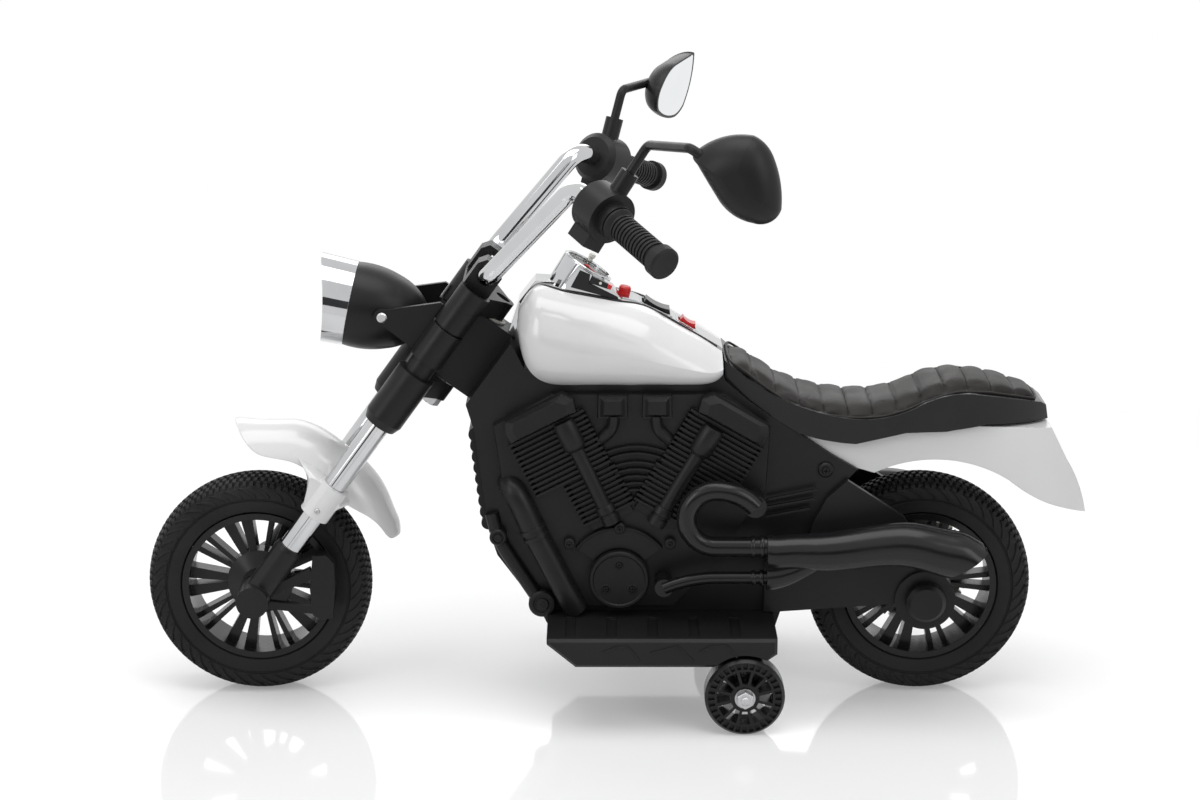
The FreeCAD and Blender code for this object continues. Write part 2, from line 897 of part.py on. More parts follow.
# stations from the front tip to the rear one: crown, edge and half width as shares
fender_shares = [
    (1.0, 1.0, 0.969, 0.959, 0.51), (0.963, 0.998, 0.932, 0.894, 0.78), (0.883, 0.989, 0.864, 0.805, 0.94),
    (0.759, 0.986, 0.778, 0.764, 0.99), (0.605, 0.978, 0.636, 0.724, 1.0), (0.463, 0.902, 0.525, 0.634, 1.0),
    (0.327, 0.768, 0.42, 0.496, 1.0), (0.173, 0.58, 0.29, 0.35, 0.985), (0.08, 0.385, 0.185, 0.26, 0.91),
    (0.028, 0.203, 0.105, 0.138, 0.73), (0.003, 0.033, 0.037, 0.024, 0.38),
]
strut_root_shares = [(0.605, 0.764), (0.543, 0.634), (0.543, 0.504), (0.556, 0.398), (0.463, 0.293),
                     (0.377, 0.333), (0.278, 0.366), (0.377, 0.537), (0.488, 0.675)]
strut_tip_shares = [(0.519, 0.634), (0.531, 0.553), (0.549, 0.472), (0.552, 0.398), (0.463, 0.301),
                    (0.407, 0.341), (0.340, 0.407), (0.370, 0.504), (0.432, 0.585)]


def fender_point(u, v, y):
    return FreeCAD.Vector(number("fender_rear_x") + u * number("fender_length"), y,
                          number("fender_low_z") + v * number("fender_height"))


def fender_ring(station):
    """The bent strip of one station: an outer arc over the crown and an inner one a wall below it."""
    half = station[4] * number("fender_half_width")
    wall = number("shell_wall")
    crown = fender_point(station[0], station[1], 0)
    edge = fender_point(station[2], station[3], 0)
    inner_crown = crown + (edge - crown).normalize() * wall
    ends = [edge - ACROSS * half, edge + ACROSS * half]
    inner_ends = [edge - ACROSS * (half - wall), edge + ACROSS * (half - wall)]
    return Part.Wire([
        Part.Arc(ends[0], crown, ends[1]).toShape(),
        Part.makeLine(ends[1], inner_ends[1]),
        Part.Arc(inner_ends[1], inner_crown, inner_ends[0]).toShape(),
        Part.makeLine(inner_ends[0], ends[0]),
    ])


def strut_ring(points, y):
    curve = Part.BSplineCurve()
    curve.interpolate([fender_point(u, v, y) for u, v in points], PeriodicFlag=True)
    return Part.Wire(curve.toShape())


skin = solid_feature("fender_skin", Part.makeLoft([fender_ring(station) for station in fender_shares], True))
strut = solid_feature("fender_strut", Part.makeLoft([
    strut_ring(strut_root_shares, number("strut_inner")),
    strut_ring(strut_tip_shares, number("strut_outer")),
], True))
collar = make_body("fender_collar")
collar_ring = draw(collar, "collar", "XY_Plane", [], [(("0", "0"), "strut_collar_radius")],
                   "strut_collar_low")
pad(collar, "collar", collar_ring, "strut_collar_high - strut_collar_low")
place_on_fork(collar, "fork_half_track")
fork_bore = make_body("fender_bore")
pad(fork_bore, "bore", draw(fork_bore, "bore", "XY_Plane", [], [(("0", "0"), "tube_radius")]), "tube_high")
place_on_fork(fork_bore, "fork_half_track")
fender_forms = [skin, strut, twin("fender_strut_right", strut), collar, twin("fender_collar_right", collar)]
node(cut("front_fender_bored", fuse("front_fender_whole", fender_forms),
         [fork_bore, twin("fender_bore_right", fork_bore)]), "front_fender")

# Headlight: shell, chrome rim and lens turned about the lamp axis, and two ears on the fork

lamp_profile_shares = [(0.0, 0.985), (0.30, 0.985), (0.55, 0.87), (0.79, 0.645), (0.95, 0.33), (1.0, 0.0)]


def lamp_section(inset):
    """The shell outline from the rim to the tip, drawn in by an inset."""
    pairs = []
    for step, (along, out) in enumerate(lamp_profile_shares):
        pair = (f"{out} * (rim_rear_radius - {inset})",
                f"-rim_length - {along} * (lamp_shell_length - {inset})")
        pairs.append(("arc",) + pair if step in (1, 3) else pair)
    return pairs


def place_lamp(item):
    return place(item, "lamp_x", "0", "lamp_z", "90 - lamp_tilt")


lamp_solid = make_body("lamp_solid")
lamp_full = lamp_section("0") + [("0", "-rim_length")]
turn(lamp_solid, "turn", draw(lamp_solid, "section", "XZ_Plane", [lamp_full]), "V_Axis")
place_lamp(lamp_solid)
lamp_hollow = make_body("lamp_hollow")
lamp_mouth = "overrun - rim_length"
lamp_inner = lamp_section("shell_wall") + [("0", lamp_mouth), ("rim_rear_radius - shell_wall", lamp_mouth)]
turn(lamp_hollow, "turn", draw(lamp_hollow, "section", "XZ_Plane", [lamp_inner]), "V_Axis")
place_lamp(lamp_hollow)
node(cut("lamp_shell", lamp_solid, [lamp_hollow]), "headlight_shell")

rim = make_body("headlight_rim_ring")
rim_section = draw(rim, "section", "XZ_Plane", [[
    ("rim_radius", "rim_peak"),
    ("rim_rear_radius", "-rim_length"),
    ("rim_rear_radius - shell_wall", "-rim_length"),
    ("lens_radius - rim_wall", "-lens_set_back - lens_thickness"),
    ("lens_radius", "-lens_set_back - lens_thickness"),
    ("lens_radius", "-lens_set_back"),
    ("rim_radius - rim_wall", "rim_peak"),
]])
turn(rim, "turn", rim_section, "V_Axis")
scoop = across_cylinder("rim_scoop", "scoop_radius", "-2 * rim_radius", "2 * rim_radius",
                        "lamp_x + scoop_reach", "lamp_z + scoop_lift")
node(cut("headlight_rim_scooped", place_lamp(rim), [scoop]), "headlight_rim")

lens = make_body("headlight_lens")
lens_back = "-lens_set_back - lens_thickness"
lens_ball = "((lens_radius ^ 2 + lens_dome ^ 2) / (2 * lens_dome))"
lens_swell = f"lens_dome - lens_set_back - {lens_ball} + sqrt({lens_ball} ^ 2 - (0.7 * lens_radius) ^ 2)"
lens_section = draw(lens, "section", "XZ_Plane", [[
    ("0", lens_back),
    ("lens_radius", lens_back),
    ("lens_radius", "-lens_set_back"),
    ("arc", "0.7 * lens_radius", lens_swell),
    ("0", "lens_dome - lens_set_back"),
]])
turn(lens, "turn", lens_section, "V_Axis")
node(place_lamp(lens), "headlight_lens")

ear = make_body("headlight_ear")
ear_plate = draw(ear, "plate", "XZ_Plane", [[
    ("0", "ear_base_low"),
    ("ear_ahead - 0.6 * ear_tip_radius", "ear_along - 0.8 * ear_tip_radius"),
    ("arc", "ear_ahead + ear_tip_radius", "ear_along"),
    ("ear_ahead + 0.3 * ear_tip_radius", "ear_along + 0.9 * ear_tip_radius"),
    ("ear_front", "ear_top"),
    ("ear_collar + part_gap", "ear_top"),
    ("ear_collar + part_gap", "ear_base_high"),
    ("0", "ear_base_high"),
]], offset="fork_half_track - ear_half_gap - ear_width")
pad(ear, "plate", ear_plate, "ear_width")
ear_boss = draw(ear, "boss", "XZ_Plane", [], [(("ear_ahead", "ear_along"), "0.8 * ear_tip_radius")],
                "fork_half_track - ear_half_gap - ear_width")
pad(ear, "boss", ear_boss, "ear_half_gap")
ear_ring = draw(ear, "collar", "XY_Plane", [], [(("0", "0"), "ear_collar")], "ear_base_low")
pad(ear, "collar", ear_ring, "ear_base_high - ear_base_low")
ear_bore = draw(ear, "bore", "XY_Plane", [], [(("0", "0"), "shroud_radius")])
pocket(ear, "bore", ear_bore, flip=True)
ear_screw = draw(ear, "screw", "XZ_Plane", [], [(("ear_ahead", "ear_along"), "screw_radius")],
                 "fork_half_track - ear_half_gap - ear_width")
pocket(ear, "screw", ear_screw, "screw_length", flip=True)
place_on_fork(ear, "fork_half_track")
ear_left = cut("headlight_ear_left", ear, [lamp_solid])
node(group("headlight_ears", [ear_left, twin("headlight_ear_right", ear_left)]), "headlight_bracket")

# Handlebar, switch housings and grips

bar_middle = [number(text) for text in fork_point("bar_along", "0")]
bar_top = FreeCAD.Vector(number("bar_top_x"), number("bar_top_y"), number("bar_top_z"))
grip_way_shares = FreeCAD.Vector(-0.80, 1.18, -0.47).normalize()
grip_end = bar_top + grip_way_shares * number("bar_reach")
bar_corner = FreeCAD.Vector(bar_middle[0], number("bar_corner_y"), bar_middle[1])


def other_side(point):
    return FreeCAD.Vector(point.x, -point.y, point.z)


bar_points = [grip_end, bar_top, bar_corner]
bar_wire = bent_wire(bar_points + [other_side(point) for point in reversed(bar_points)], number("bar_bend"))
bar_core = swept_rod(bar_wire, number("bar_radius - bar_wall"))
node(solid_feature("handlebar_tube", swept_rod(bar_wire, number("bar_radius")).cut(bar_core)), "handlebar")

lean_back_shares = FreeCAD.Vector(-0.55, 0, 0.83)


def grip_frame(side):
    """Placement with its own upright along the bar end and its forward axis towards the mirror socket."""
    direction = grip_end - bar_top
    direction.y *= side
    origin = FreeCAD.Vector(bar_top.x, bar_top.y * side, bar_top.z)
    frame = FreeCAD.Rotation(lean_back_shares, FreeCAD.Vector(), direction, "ZXY")
    if side < 0:
        frame = FreeCAD.Rotation(direction, -number("housing_turn_right")).multiply(frame)
    return FreeCAD.Placement(origin, frame)


def make_housing(label):
    item = make_body(label)
    stop = "housing_start + housing_length"
    drum = draw(item, "drum", "XZ_Plane", [[
        ("0", "housing_start"),
        ("drum_radius - drum_step", "housing_start"),
        ("drum_radius", "housing_start + drum_step"),
        ("drum_radius", f"{stop} - drum_neck_length"),
        ("drum_neck", f"{stop} - drum_neck_length"),
        ("drum_neck", stop),
        ("0", stop),
    ]])
    turn(item, "drum", drum, "V_Axis")
    block = draw(item, "block", "YZ_Plane", [[
        ("-block_half_width", "housing_start + block_start"),
        ("block_half_width", "housing_start + block_start"),
        ("block_half_width", "housing_start + block_start + block_length"),
        ("-block_half_width", "housing_start + block_start + block_length"),
    ]])
    pad(item, "block", block, "block_drop", flip=True)
    middle = "housing_start + 0.5 * housing_length"
    socket = draw(item, "socket", "YZ_Plane", [], [(("0", middle), "socket_radius")])
    pad(item, "socket", socket, "socket_reach")
    socket_bore = draw(item, "socket_bore", "YZ_Plane", [], [(("0", middle), "mirror_rod + run_gap")],
                       "socket_floor")
    pocket(item, "socket_bore", socket_bore, "socket_reach - socket_floor", flip=True)
    bore = draw(item, "bore", "XY_Plane", [], [(("0", "0"), "bar_radius")])
    pocket(item, "bore", bore, flip=True)
    return item


def make_grip(label):
    item = make_body(label)
    sleeve = draw(item, "sleeve", "XZ_Plane", [[
        ("bar_radius", "grip_start"),
        ("grip_cone_radius", "grip_start"),
        ("grip_cone_radius", "grip_start + 0.4 * grip_cone_length"),
        ("grip_radius", "grip_start + grip_cone_length"),
        ("grip_radius", "bar_reach - grip_flange_width"),
        ("grip_flange_radius", "bar_reach - grip_flange_width"),
        ("grip_flange_radius", "bar_reach + 0.5 * grip_cap"),
        ("grip_flange_radius - 0.5 * grip_cap", "bar_reach + grip_cap"),
        ("0", "bar_reach + grip_cap"),
        ("0", "bar_reach"),
        ("bar_radius", "bar_reach"),
    ]])
    turn(item, "sleeve", sleeve, "V_Axis")
    room = number("bar_reach - grip_start - grip_cone_length - grip_flange_width")
    count = int(room / number("rib_pitch"))
    low = "grip_start + grip_cone_length"
    loops = []
    for step in range(count):
        base = f"{low} + rib_pitch * {step}"
        loops.append([
            ("bar_radius + run_gap", base),
            ("rib_radius", base),
            ("rib_radius", f"{base} + rib_width"),
            ("bar_radius + run_gap", f"{base} + rib_width"),
        ])
    ribs = draw(item, "ribs", "XZ_Plane", loops)
    turn(item, "ribs", ribs, "V_Axis")
    return item


housings = []
grips = []
mirror_frames = {}
for word, side in (("left", 1), ("right", -1)):
    housing = make_housing(f"switch_housing_{word}")
    housing.Placement = grip_frame(side)
    housings.append(housing)
    grip = make_grip(f"grip_{word}")
    grip.Placement = grip_frame(side)
    grips.append(grip)
    mirror_frames[word] = grip_frame(side)
node(group("switch_housing_pair", housings), "switch_housings")
node(group("grip_pair", grips), "grips")

# Mirrors: a bent rod in the housing socket, a domed shell and a flat glass

mirror_outline_shares = [
    (-0.448, -0.40), (-0.478, -0.03), (-0.366, 0.423), (-0.256, 0.517), (-0.072, 0.558), (0.19, 0.505),
    (0.442, 0.37), (0.516, 0.188), (0.465, -0.046), (0.326, -0.246), (0.093, -0.37), (-0.163, -0.42),
    (-0.36, -0.454), (-0.424, -0.46),
]
dome_shares = [(0.0, 1.0), (0.14, 1.0), (0.55, 0.87), (0.88, 0.58), (1.0, 0.25)]
# for each mirror: the long way of its head, the way it faces, and its middle from the end of the arm
head_way_shares = {
    "left": (FreeCAD.Vector(-0.40, 0.12, -0.909), FreeCAD.Vector(-0.30, -1.0, 0.0), (0.50, 0.42, 0.40)),
    "right": (FreeCAD.Vector(0.418, 0.908, 0.0), FreeCAD.Vector(-0.894, 0.412, -0.174), (0.0, 0.0, 0.85)),
}


def head_outline(middle, long_way, wide_way, normal, scale, depth):
    """The outline of a mirror, shrunk about its middle and set back behind the glass."""
    length = number("mirror_length") * scale
    width = number("mirror_width") * scale
    centre = middle - normal * depth
    points = [centre + long_way * (u * length) + wide_way * (v * width) for u, v in mirror_outline_shares]
    points.append(points[0])
    edges = []
    for step in range(0, len(points) - 2, 2):
        edges.append(Part.Arc(points[step], points[step + 1], points[step + 2]).toShape())
    return Part.Wire(edges)


def make_mirror(word, side):
    frame = mirror_frames[word]
    axis = frame.Rotation.multVec(FreeCAD.Vector(1, 0, 0))
    middle = number("housing_start + 0.5 * housing_length")
    centre = frame.multVec(FreeCAD.Vector(0, 0, middle))
    foot = centre + axis * number("socket_floor")
    knee = centre + axis * number("mirror_rise")
    reach = [number(f"{word}_reach_{axis}") for axis in "xyz"]
    tip = knee + FreeCAD.Vector(reach[0], side * reach[1], reach[2])
    long_way, facing, middle_shares = head_way_shares[word]
    long_way = FreeCAD.Vector(long_way).normalize()
    normal = (facing - long_way * facing.dot(long_way)).normalize()
    wide_way = long_way.cross(normal) * side
    depth = number("mirror_depth")
    root = tip + long_way * (middle_shares[0] * number("mirror_length"))
    root += wide_way * (middle_shares[1] * number("mirror_width")) + normal * (middle_shares[2] * depth)
    inward = root - normal * (middle_shares[2] * depth) - tip
    if inward.Length < depth:
        inward = FreeCAD.Vector(normal)
    inside = tip + inward.normalize() * number("mirror_neck")
    rod = swept_rod(bent_wire([foot, knee, tip, inside], number("mirror_bend")), number("mirror_rod"))
    wall = number("mirror_wall")
    lip = number("mirror_lip")
    narrow = 1 - 2 * wall / number("mirror_width")
    outer = [head_outline(root, long_way, wide_way, normal, k, u * depth) for u, k in dome_shares]
    inner = [head_outline(root, long_way, wide_way, normal, k * narrow, lip + u * (depth - lip - wall))
             for u, k in dome_shares]
    seat = head_outline(root, long_way, wide_way, normal, narrow, 0)
    glass = Part.Face(seat).extrude(normal * -number("glass_thickness"))
    bowl = Part.makeLoft(inner, True)
    opening = Part.Face(seat).extrude(normal * -lip)
    shell = Part.makeLoft(outer, True).cut(bowl).cut(opening).cut(rod)
    ledge = Part.Face(seat).extrude(normal * -(lip - number("glass_thickness")))
    ledge.translate(normal * -number("glass_thickness"))
    step = ledge.cut(head_ledge(root, long_way, wide_way, normal, narrow, depth))
    shell = shell.fuse(step)
    node(solid_feature(f"mirror_rod_{word}", rod), f"mirror_arm_{word}")
    node(solid_feature(f"mirror_dome_{word}", shell), f"mirror_shell_{word}")
    node(solid_feature(f"mirror_pane_{word}", glass), f"mirror_glass_{word}")


def head_ledge(root, long_way, wide_way, normal, narrow, depth):
    """The opening inside the ledge that carries the glass."""
    ring = head_outline(root, long_way, wide_way, normal, narrow * narrow, 0)
    return Part.Face(ring).extrude(normal * -depth)


make_mirror("left", 1)
make_mirror("right", -1)

# Body shells: a hollow half on each side, with the neck, the head tube and the corrugated front

seat_flank_shares = [(0.0, 0.74), (0.068, 0.51), (0.146, 0.29), (0.227, 0.10)]
seat_flank = shares([(-u, v) for u, v in seat_flank_shares],
                    "seat_front_x", "seat_length", "seat_low_z", "seat_rise")
guard_front_shares = [(0.07, 0.63), (0.005, 0.582)]
body_back_shares = [(0.047, 0.523), (0.091, 0.464), (0.13, 0.36), (0.176, 0.176), (0.22, 0.0),
                    (0.772, 0.0), (0.813, 0.105), (0.922, 0.294), (0.943, 0.376), (0.977, 0.709)]
tank_floor_shares = (0.85, 0.352)
guard_front = shares(guard_front_shares, "body_rear_x", "body_length", "belly_z", "body_height")
body_back = shares(body_back_shares, "body_rear_x", "body_length", "belly_z", "body_height")
body_outline = [fork_point("neck_low", "-neck_setback"), fork_point("neck_high", "-neck_setback")]
body_outline += [(f"body_rear_x + {share} * body_length", "tank_floor_z") for share in tank_floor_shares]
body_outline += seat_flank + guard_front + body_back

shell = make_body("body_half")
shell_line = draw(shell, "outline", "XZ_Plane", [body_outline])
shell_pad = pad(shell, "pad", shell_line, "body_half_width", flip=True)
open_faces = [f"Face{index + 1}" for index, face in enumerate(shell_pad.Shape.Faces)
              if abs(face.CenterOfMass.y) < number("run_gap")]
hollow = shell.newObject("PartDesign::Thickness", "body_half_hollow")
hollow.Base = (shell_pad, open_faces)
hollow.setExpression("Value", bound("shell_wall"))
hollow.Reversed = True
hollow.Join = 1
doc.recompute()
neck = draw(shell, "neck", "XZ_Plane", [[
    fork_point("neck_low", "-neck_setback - neck_overlap"),
    fork_point("neck_low", "-neck_front"),
    fork_point("neck_high", "-neck_front"),
    fork_point("neck_high", "-neck_setback - neck_overlap"),
]])
pad(shell, "neck", neck, "neck_half_width", flip=True)
scallop_count = 9
scallops = []
for step in range(scallop_count):
    share = (step + 0.5) / scallop_count
    ends = body_back[-2:]
    centre = tuple(f"(({low}) * {1 - share:.4f} + ({high}) * {share:.4f})" for low, high in zip(*ends))
    scallops.append((centre, "scallop_radius"))
bumps = draw(shell, "scallops", "XZ_Plane", [], scallops)
pad(shell, "scallops", bumps, "scallop_half_width", flip=True)

neck_foot = fork_point("neck_low", "-stem_setback")
head_bore = cylinder("head_bore", "bush_radius", "neck_high - neck_low")
place(head_bore, neck_foot[0], "0", neck_foot[1], "-rake")
screw_spot_shares = [(0.085, 0.585), (0.907, 0.347), (0.793, 0.124)]
screw_spots = shares(screw_spot_shares, "body_rear_x", "body_length", "belly_z", "body_height")
screw_holes = [
    across_cylinder(f"screw_hole_{index}", "screw_radius",
                    "body_half_width - screw_length", "body_half_width", *pair)
    for index, pair in enumerate(screw_spots)
]
loom_hole = cylinder("loom_hole", "2 * loom_radius", "2 * overrun")
place(loom_hole, "loom_x", "0", "tank_floor_z - overrun")
left_half = cut("body_half_left", shell, [head_bore, loom_hole] + screw_holes)
node(left_half, "body_shell_left")
charge_hole = across_cylinder("charge_hole", "charge_barrel", "-body_half_width - overrun", "0",
                              "charge_x", "charge_z")
node(cut("body_half_right", twin("body_half_twin", left_half), [charge_hole]), "body_shell_right")

screw = make_body("body_screw")
screw_section = draw(screw, "section", "YZ_Plane", [[
    ("body_half_width - 0.8 * screw_length", "0"),
    ("body_half_width - 0.8 * screw_length", "screw_radius"),
    ("body_half_width", "screw_radius"),
    ("body_half_width", "screw_head"),
    ("body_half_width + 0.6 * screw_head_height", "screw_head"),
    ("body_half_width + screw_head_height", "0.7 * screw_head"),
    ("body_half_width + screw_head_height", "0"),
]])
turn(screw, "turn", screw_section, "H_Axis")
screws = []
for index, pair in enumerate(screw_spots):
    for word, side in (("left", 1), ("right", -1)):
        kind = "Part::Mirroring" if side < 0 else "Part::Compound"
        copy = doc.addObject(kind, f"body_screw_{word}_{index}")
        if side < 0:
            copy.Source = screw
            copy.Normal = ACROSS
        else:
            copy.Links = [screw]
        screws.append(place(copy, pair[0], "0", pair[1]))
node(group("body_screw_set", screws), "body_screws")

# Engine covers: a relief of the two cylinders on a plate

cover = make_body("engine_cover")
cover_shares = [(0.90, 0.76), (0.725, 0.84), (0.38, 0.84), (0.235, 0.725), (0.265, 0.55),
                (0.36, 0.27), (0.47, 0.125), (0.74, 0.125), (0.87, 0.39)]
cover_line = shares(cover_shares, "body_rear_x", "body_length", "belly_z", "body_height")
plate = draw(cover, "plate", "XZ_Plane", [cover_line])
pad(cover, "plate", plate, "cover_thickness", flip=True)


def vee_block(start, stop, half_width, angle):
    return [
        polar_point("crank_x", "crank_z", start, f"-({half_width})", angle),
        polar_point("crank_x", "crank_z", stop, f"-({half_width})", angle),
        polar_point("crank_x", "crank_z", stop, half_width, angle),
        polar_point("crank_x", "crank_z", start, half_width, angle),
    ]


fin_count = 14
for word, angle in (("front", "vee_angle"), ("rear", "-vee_angle")):
    barrel = vee_block("fin_start", "barrel_end", "barrel_half", angle)
    block = draw(cover, f"{word}_barrel", "XZ_Plane", [barrel])
    pad(cover, f"{word}_barrel", block, "barrel_rise", flip=True)
    fins = []
    for step in range(fin_count):
        low = f"fin_start + fin_pitch * {step}"
        fins.append(vee_block(low, f"{low} + fin_width", "fin_half_width", angle))
    pad(cover, f"{word}_fins", draw(cover, f"{word}_fins", "XZ_Plane", fins), "fin_rise", flip=True)
    head = vee_block("barrel_end", "rocker_end", "rocker_half_width", angle)
    top = draw(cover, f"{word}_rocker", "XZ_Plane", [head])
    pad(cover, f"{word}_rocker", top, "rocker_rise", flip=True)
    side = "-1" if word == "front" else "1"
    rod_x = f"(crank_x - {side} * pushrod_x)"
    lean = f"(-({side}) * pushrod_lean)"
    rod = draw(cover, f"{word}_pushrod", "XZ_Plane", [[
        polar_point(rod_x, "crank_z", "pushrod_start", "-pushrod_half_width", lean),
        polar_point(rod_x, "crank_z", "pushrod_end", "-pushrod_half_width", lean),
        polar_point(rod_x, "crank_z", "pushrod_end", "pushrod_half_width", lean),
        polar_point(rod_x, "crank_z", "pushrod_start", "pushrod_half_width", lean),
    ]])
    pad(cover, f"{word}_pushrod", rod, "pushrod_rise", flip=True)
middle = ("round_cover_x", "round_cover_z")
for word, pair, radius, rise in (
    ("timing", middle, "timing_radius", "timing_rise"),
    ("round_cover", middle, "round_cover_radius", "round_cover_rise"),
    ("fan", ("crank_x", "fan_z"), "fan_radius", "fan_rise"),
):
    pad(cover, word, draw(cover, word, "XZ_Plane", [], [(pair, radius)]), rise, flip=True)
intakes = []
for x in ("intake_front_x", "intake_rear_x"):
    half = "0.5 * intake_size"
    intakes.append([
        (f"{x} - {half}", f"intake_z - {half}"),
        (f"{x} + {half}", f"intake_z - {half}"),
        (f"{x} + {half}", f"intake_z + 0.5 * {half}"),
        (f"{x} - {half}", f"intake_z + 0.5 * {half}"),
    ])
pad(cover, "intakes", draw(cover, "intakes", "XZ_Plane", intakes), "intake_rise", flip=True)
down_pipe_shares = [(0.845, 0.47), (0.79, 0.36), (0.745, 0.20)]
run = shares(down_pipe_shares, "body_rear_x", "body_length", "belly_z", "body_height")
offset_x = "down_pipe_half_width"
down_pipe = draw(cover, "down_pipe", "XZ_Plane", [
    [(f"{x} + {offset_x}", z) for x, z in run] + [(f"{x} - {offset_x}", z) for x, z in reversed(run)]
])
pad(cover, "down_pipe", down_pipe, "down_pipe_rise", flip=True)
board_top = "board_low_z + board_thickness"
foot_line = f"{board_top} + part_gap"
foot = draw(cover, "foot", "XZ_Plane", [[
    ("body_rear_x", "0"),
    ("body_rear_x + body_length", "0"),
    ("body_rear_x + body_length", foot_line),
    ("body_rear_x", foot_line),
]])
pocket(cover, "foot", foot)
place(cover, "0", "body_half_width", "0")
node(group("engine_cover_pair", [cover, twin("engine_cover_right", cover)]), "engine_covers")

# Exhausts: a lofted silencer with two header pipes

exhaust = make_body("exhaust")
muffler_shares = [(0.0, 0.0, 0.69), (0.1, -0.01, 0.72), (0.2, -0.01, 0.76), (0.3, 0.03, 0.81),
                  (0.4, 0.16, 0.835), (0.5, 0.28, 0.865), (0.6, 0.30, 0.92), (0.69, 0.13, 0.975),
                  (0.77, -0.07, 1.0), (0.87, -0.34, 1.0), (1.0, -0.68, 0.98)]
branch_shares = [(0.0, -1.08, 0.54), (0.08, -0.95, 0.52), (0.17, -0.62, 0.45), (0.26, -0.25, 0.36)]


def muffler_sections(word, marks, scale):
    sections = []
    for index, (along, rise, girth) in enumerate(marks):
        centre = ("exhaust_y", f"muffler_z + {rise} * muffler_radius")
        sections.append(draw(exhaust, f"{word}_{index}", "YZ_Plane", [],
                             [(centre, f"{scale} * {girth} * muffler_radius")],
                             f"muffler_front_x - {along} * muffler_length"))
    return sections


def muffler_loop(points):
    return shares([(-u, v) for u, v in points],
                  "muffler_front_x", "muffler_length", "muffler_z", "muffler_radius")


loft(exhaust, "muffler", "Additive", muffler_sections("muffler", muffler_shares, "1"))
loft(exhaust, "branch", "Additive", muffler_sections("branch", branch_shares, "1"))
loft(exhaust, "tail", "Subtractive", muffler_sections("tail", muffler_shares[-3:], "0.85"))
slash_shares = [(1.105, 1.29), (1.3, 1.29), (1.3, -2.0), (0.623, -2.0)]
pocket(exhaust, "slash", draw(exhaust, "slash", "XZ_Plane", [muffler_loop(slash_shares)]))
header_ring = draw(exhaust, "header_ring", "YZ_Plane", [], [(("exhaust_y", "header_z"), "header_radius")],
                   "muffler_front_x - overrun")
loop_top = "header_z + 2 * loop_radius"


def loop_tail(angle):
    """A place on the flatter arc that ends the loop."""
    return (f"loop_x - tail_radius * sin({angle} * 1 deg)",
            f"{loop_top} - tail_radius * (1 - cos({angle} * 1 deg))")


header_line = draw(exhaust, "header_line", "XZ_Plane", [[
    ("muffler_front_x - overrun", "header_z"),
    ("loop_x", "header_z"),
    ("arc", "loop_x + loop_radius", "header_z + loop_radius"),
    ("loop_x", loop_top),
    ("arc",) + loop_tail("0.5 * tail_angle"),
    loop_tail("tail_angle"),
]], offset="-exhaust_y", closed=False)
pipe(exhaust, "header", header_ring, header_line)
lower_ring = draw(exhaust, "lower_ring", "YZ_Plane", [],
                  [(("exhaust_y", "lower_header_z"), "lower_header_radius")], "muffler_front_x - overrun")


def lower_drop(run_length):
    return f"lower_header_z - lower_header_bend + sqrt(lower_header_bend ^ 2 - ({run_length}) ^ 2)"


lower_run = "(lower_header_end_x - lower_header_bend_x)"
lower_line = draw(exhaust, "lower_line", "XZ_Plane", [[
    ("muffler_front_x - overrun", "lower_header_z"),
    ("lower_header_bend_x", "lower_header_z"),
    ("arc", f"lower_header_bend_x + 0.5 * {lower_run}", lower_drop(f"0.5 * {lower_run}")),
    ("lower_header_end_x", lower_drop(lower_run)),
]], offset="-exhaust_y", closed=False)
pipe(exhaust, "lower_header", lower_ring, lower_line)
stub = draw(exhaust, "stub", "XZ_Plane", [], [(loop_tail("tail_angle"), "stub_radius")], "-exhaust_y")
pad(exhaust, "stub", stub, "exhaust_y - body_half_width - cover_thickness")
lower_stub = draw(exhaust, "lower_stub", "XZ_Plane", [],
                  [(("lower_header_end_x", lower_drop(lower_run)), "lower_stub_radius")], "-exhaust_y")
pad(exhaust, "lower_stub", lower_stub, "exhaust_y - body_half_width - timing_rise")
stay_mark_shares = [(0.24, -0.25), (0.34, -0.25), (0.34, 0.30), (0.24, 0.30)]
hanger = draw(exhaust, "hanger", "XZ_Plane", [muffler_loop(stay_mark_shares)], offset="-exhaust_y")
pad(exhaust, "hanger", hanger, "exhaust_y - body_half_width - arm_width")
node(group("exhaust_pair", [exhaust, twin("exhaust_right", exhaust)]), "exhausts")

# Swingarms, rear axle and drive

arm = make_body("swingarm")
arm_shares = [(1.0, 0.045), (0.30, 0.11), (0.10, 0.30), (0.29, 0.74), (0.585, 1.0), (0.69, 0.87),
              (0.755, 0.69), (0.79, 0.51), (1.0, 0.41)]
arm_line = shares(arm_shares, "arm_rear_x", "arm_length", "arm_low_z", "arm_height")
arm_plate = draw(arm, "plate", "XZ_Plane", [arm_line], offset="-body_half_width")
pad(arm, "plate", arm_plate, "arm_width", flip=True)
rear_hub = ("rear_axle_x", "wheel_radius")
arm_boss = draw(arm, "boss", "XZ_Plane", [], [(rear_hub, "arm_boss_radius")], "-arm_boss_inner")
pad(arm, "boss", arm_boss, "arm_boss_outer - arm_boss_inner", flip=True)
arm_hole = draw(arm, "hole", "XZ_Plane", [], [(rear_hub, "axle_radius")])
pocket(arm, "hole", arm_hole)
node(group("swingarm_pair", [arm, twin("swingarm_right", arm)]), "swingarms")

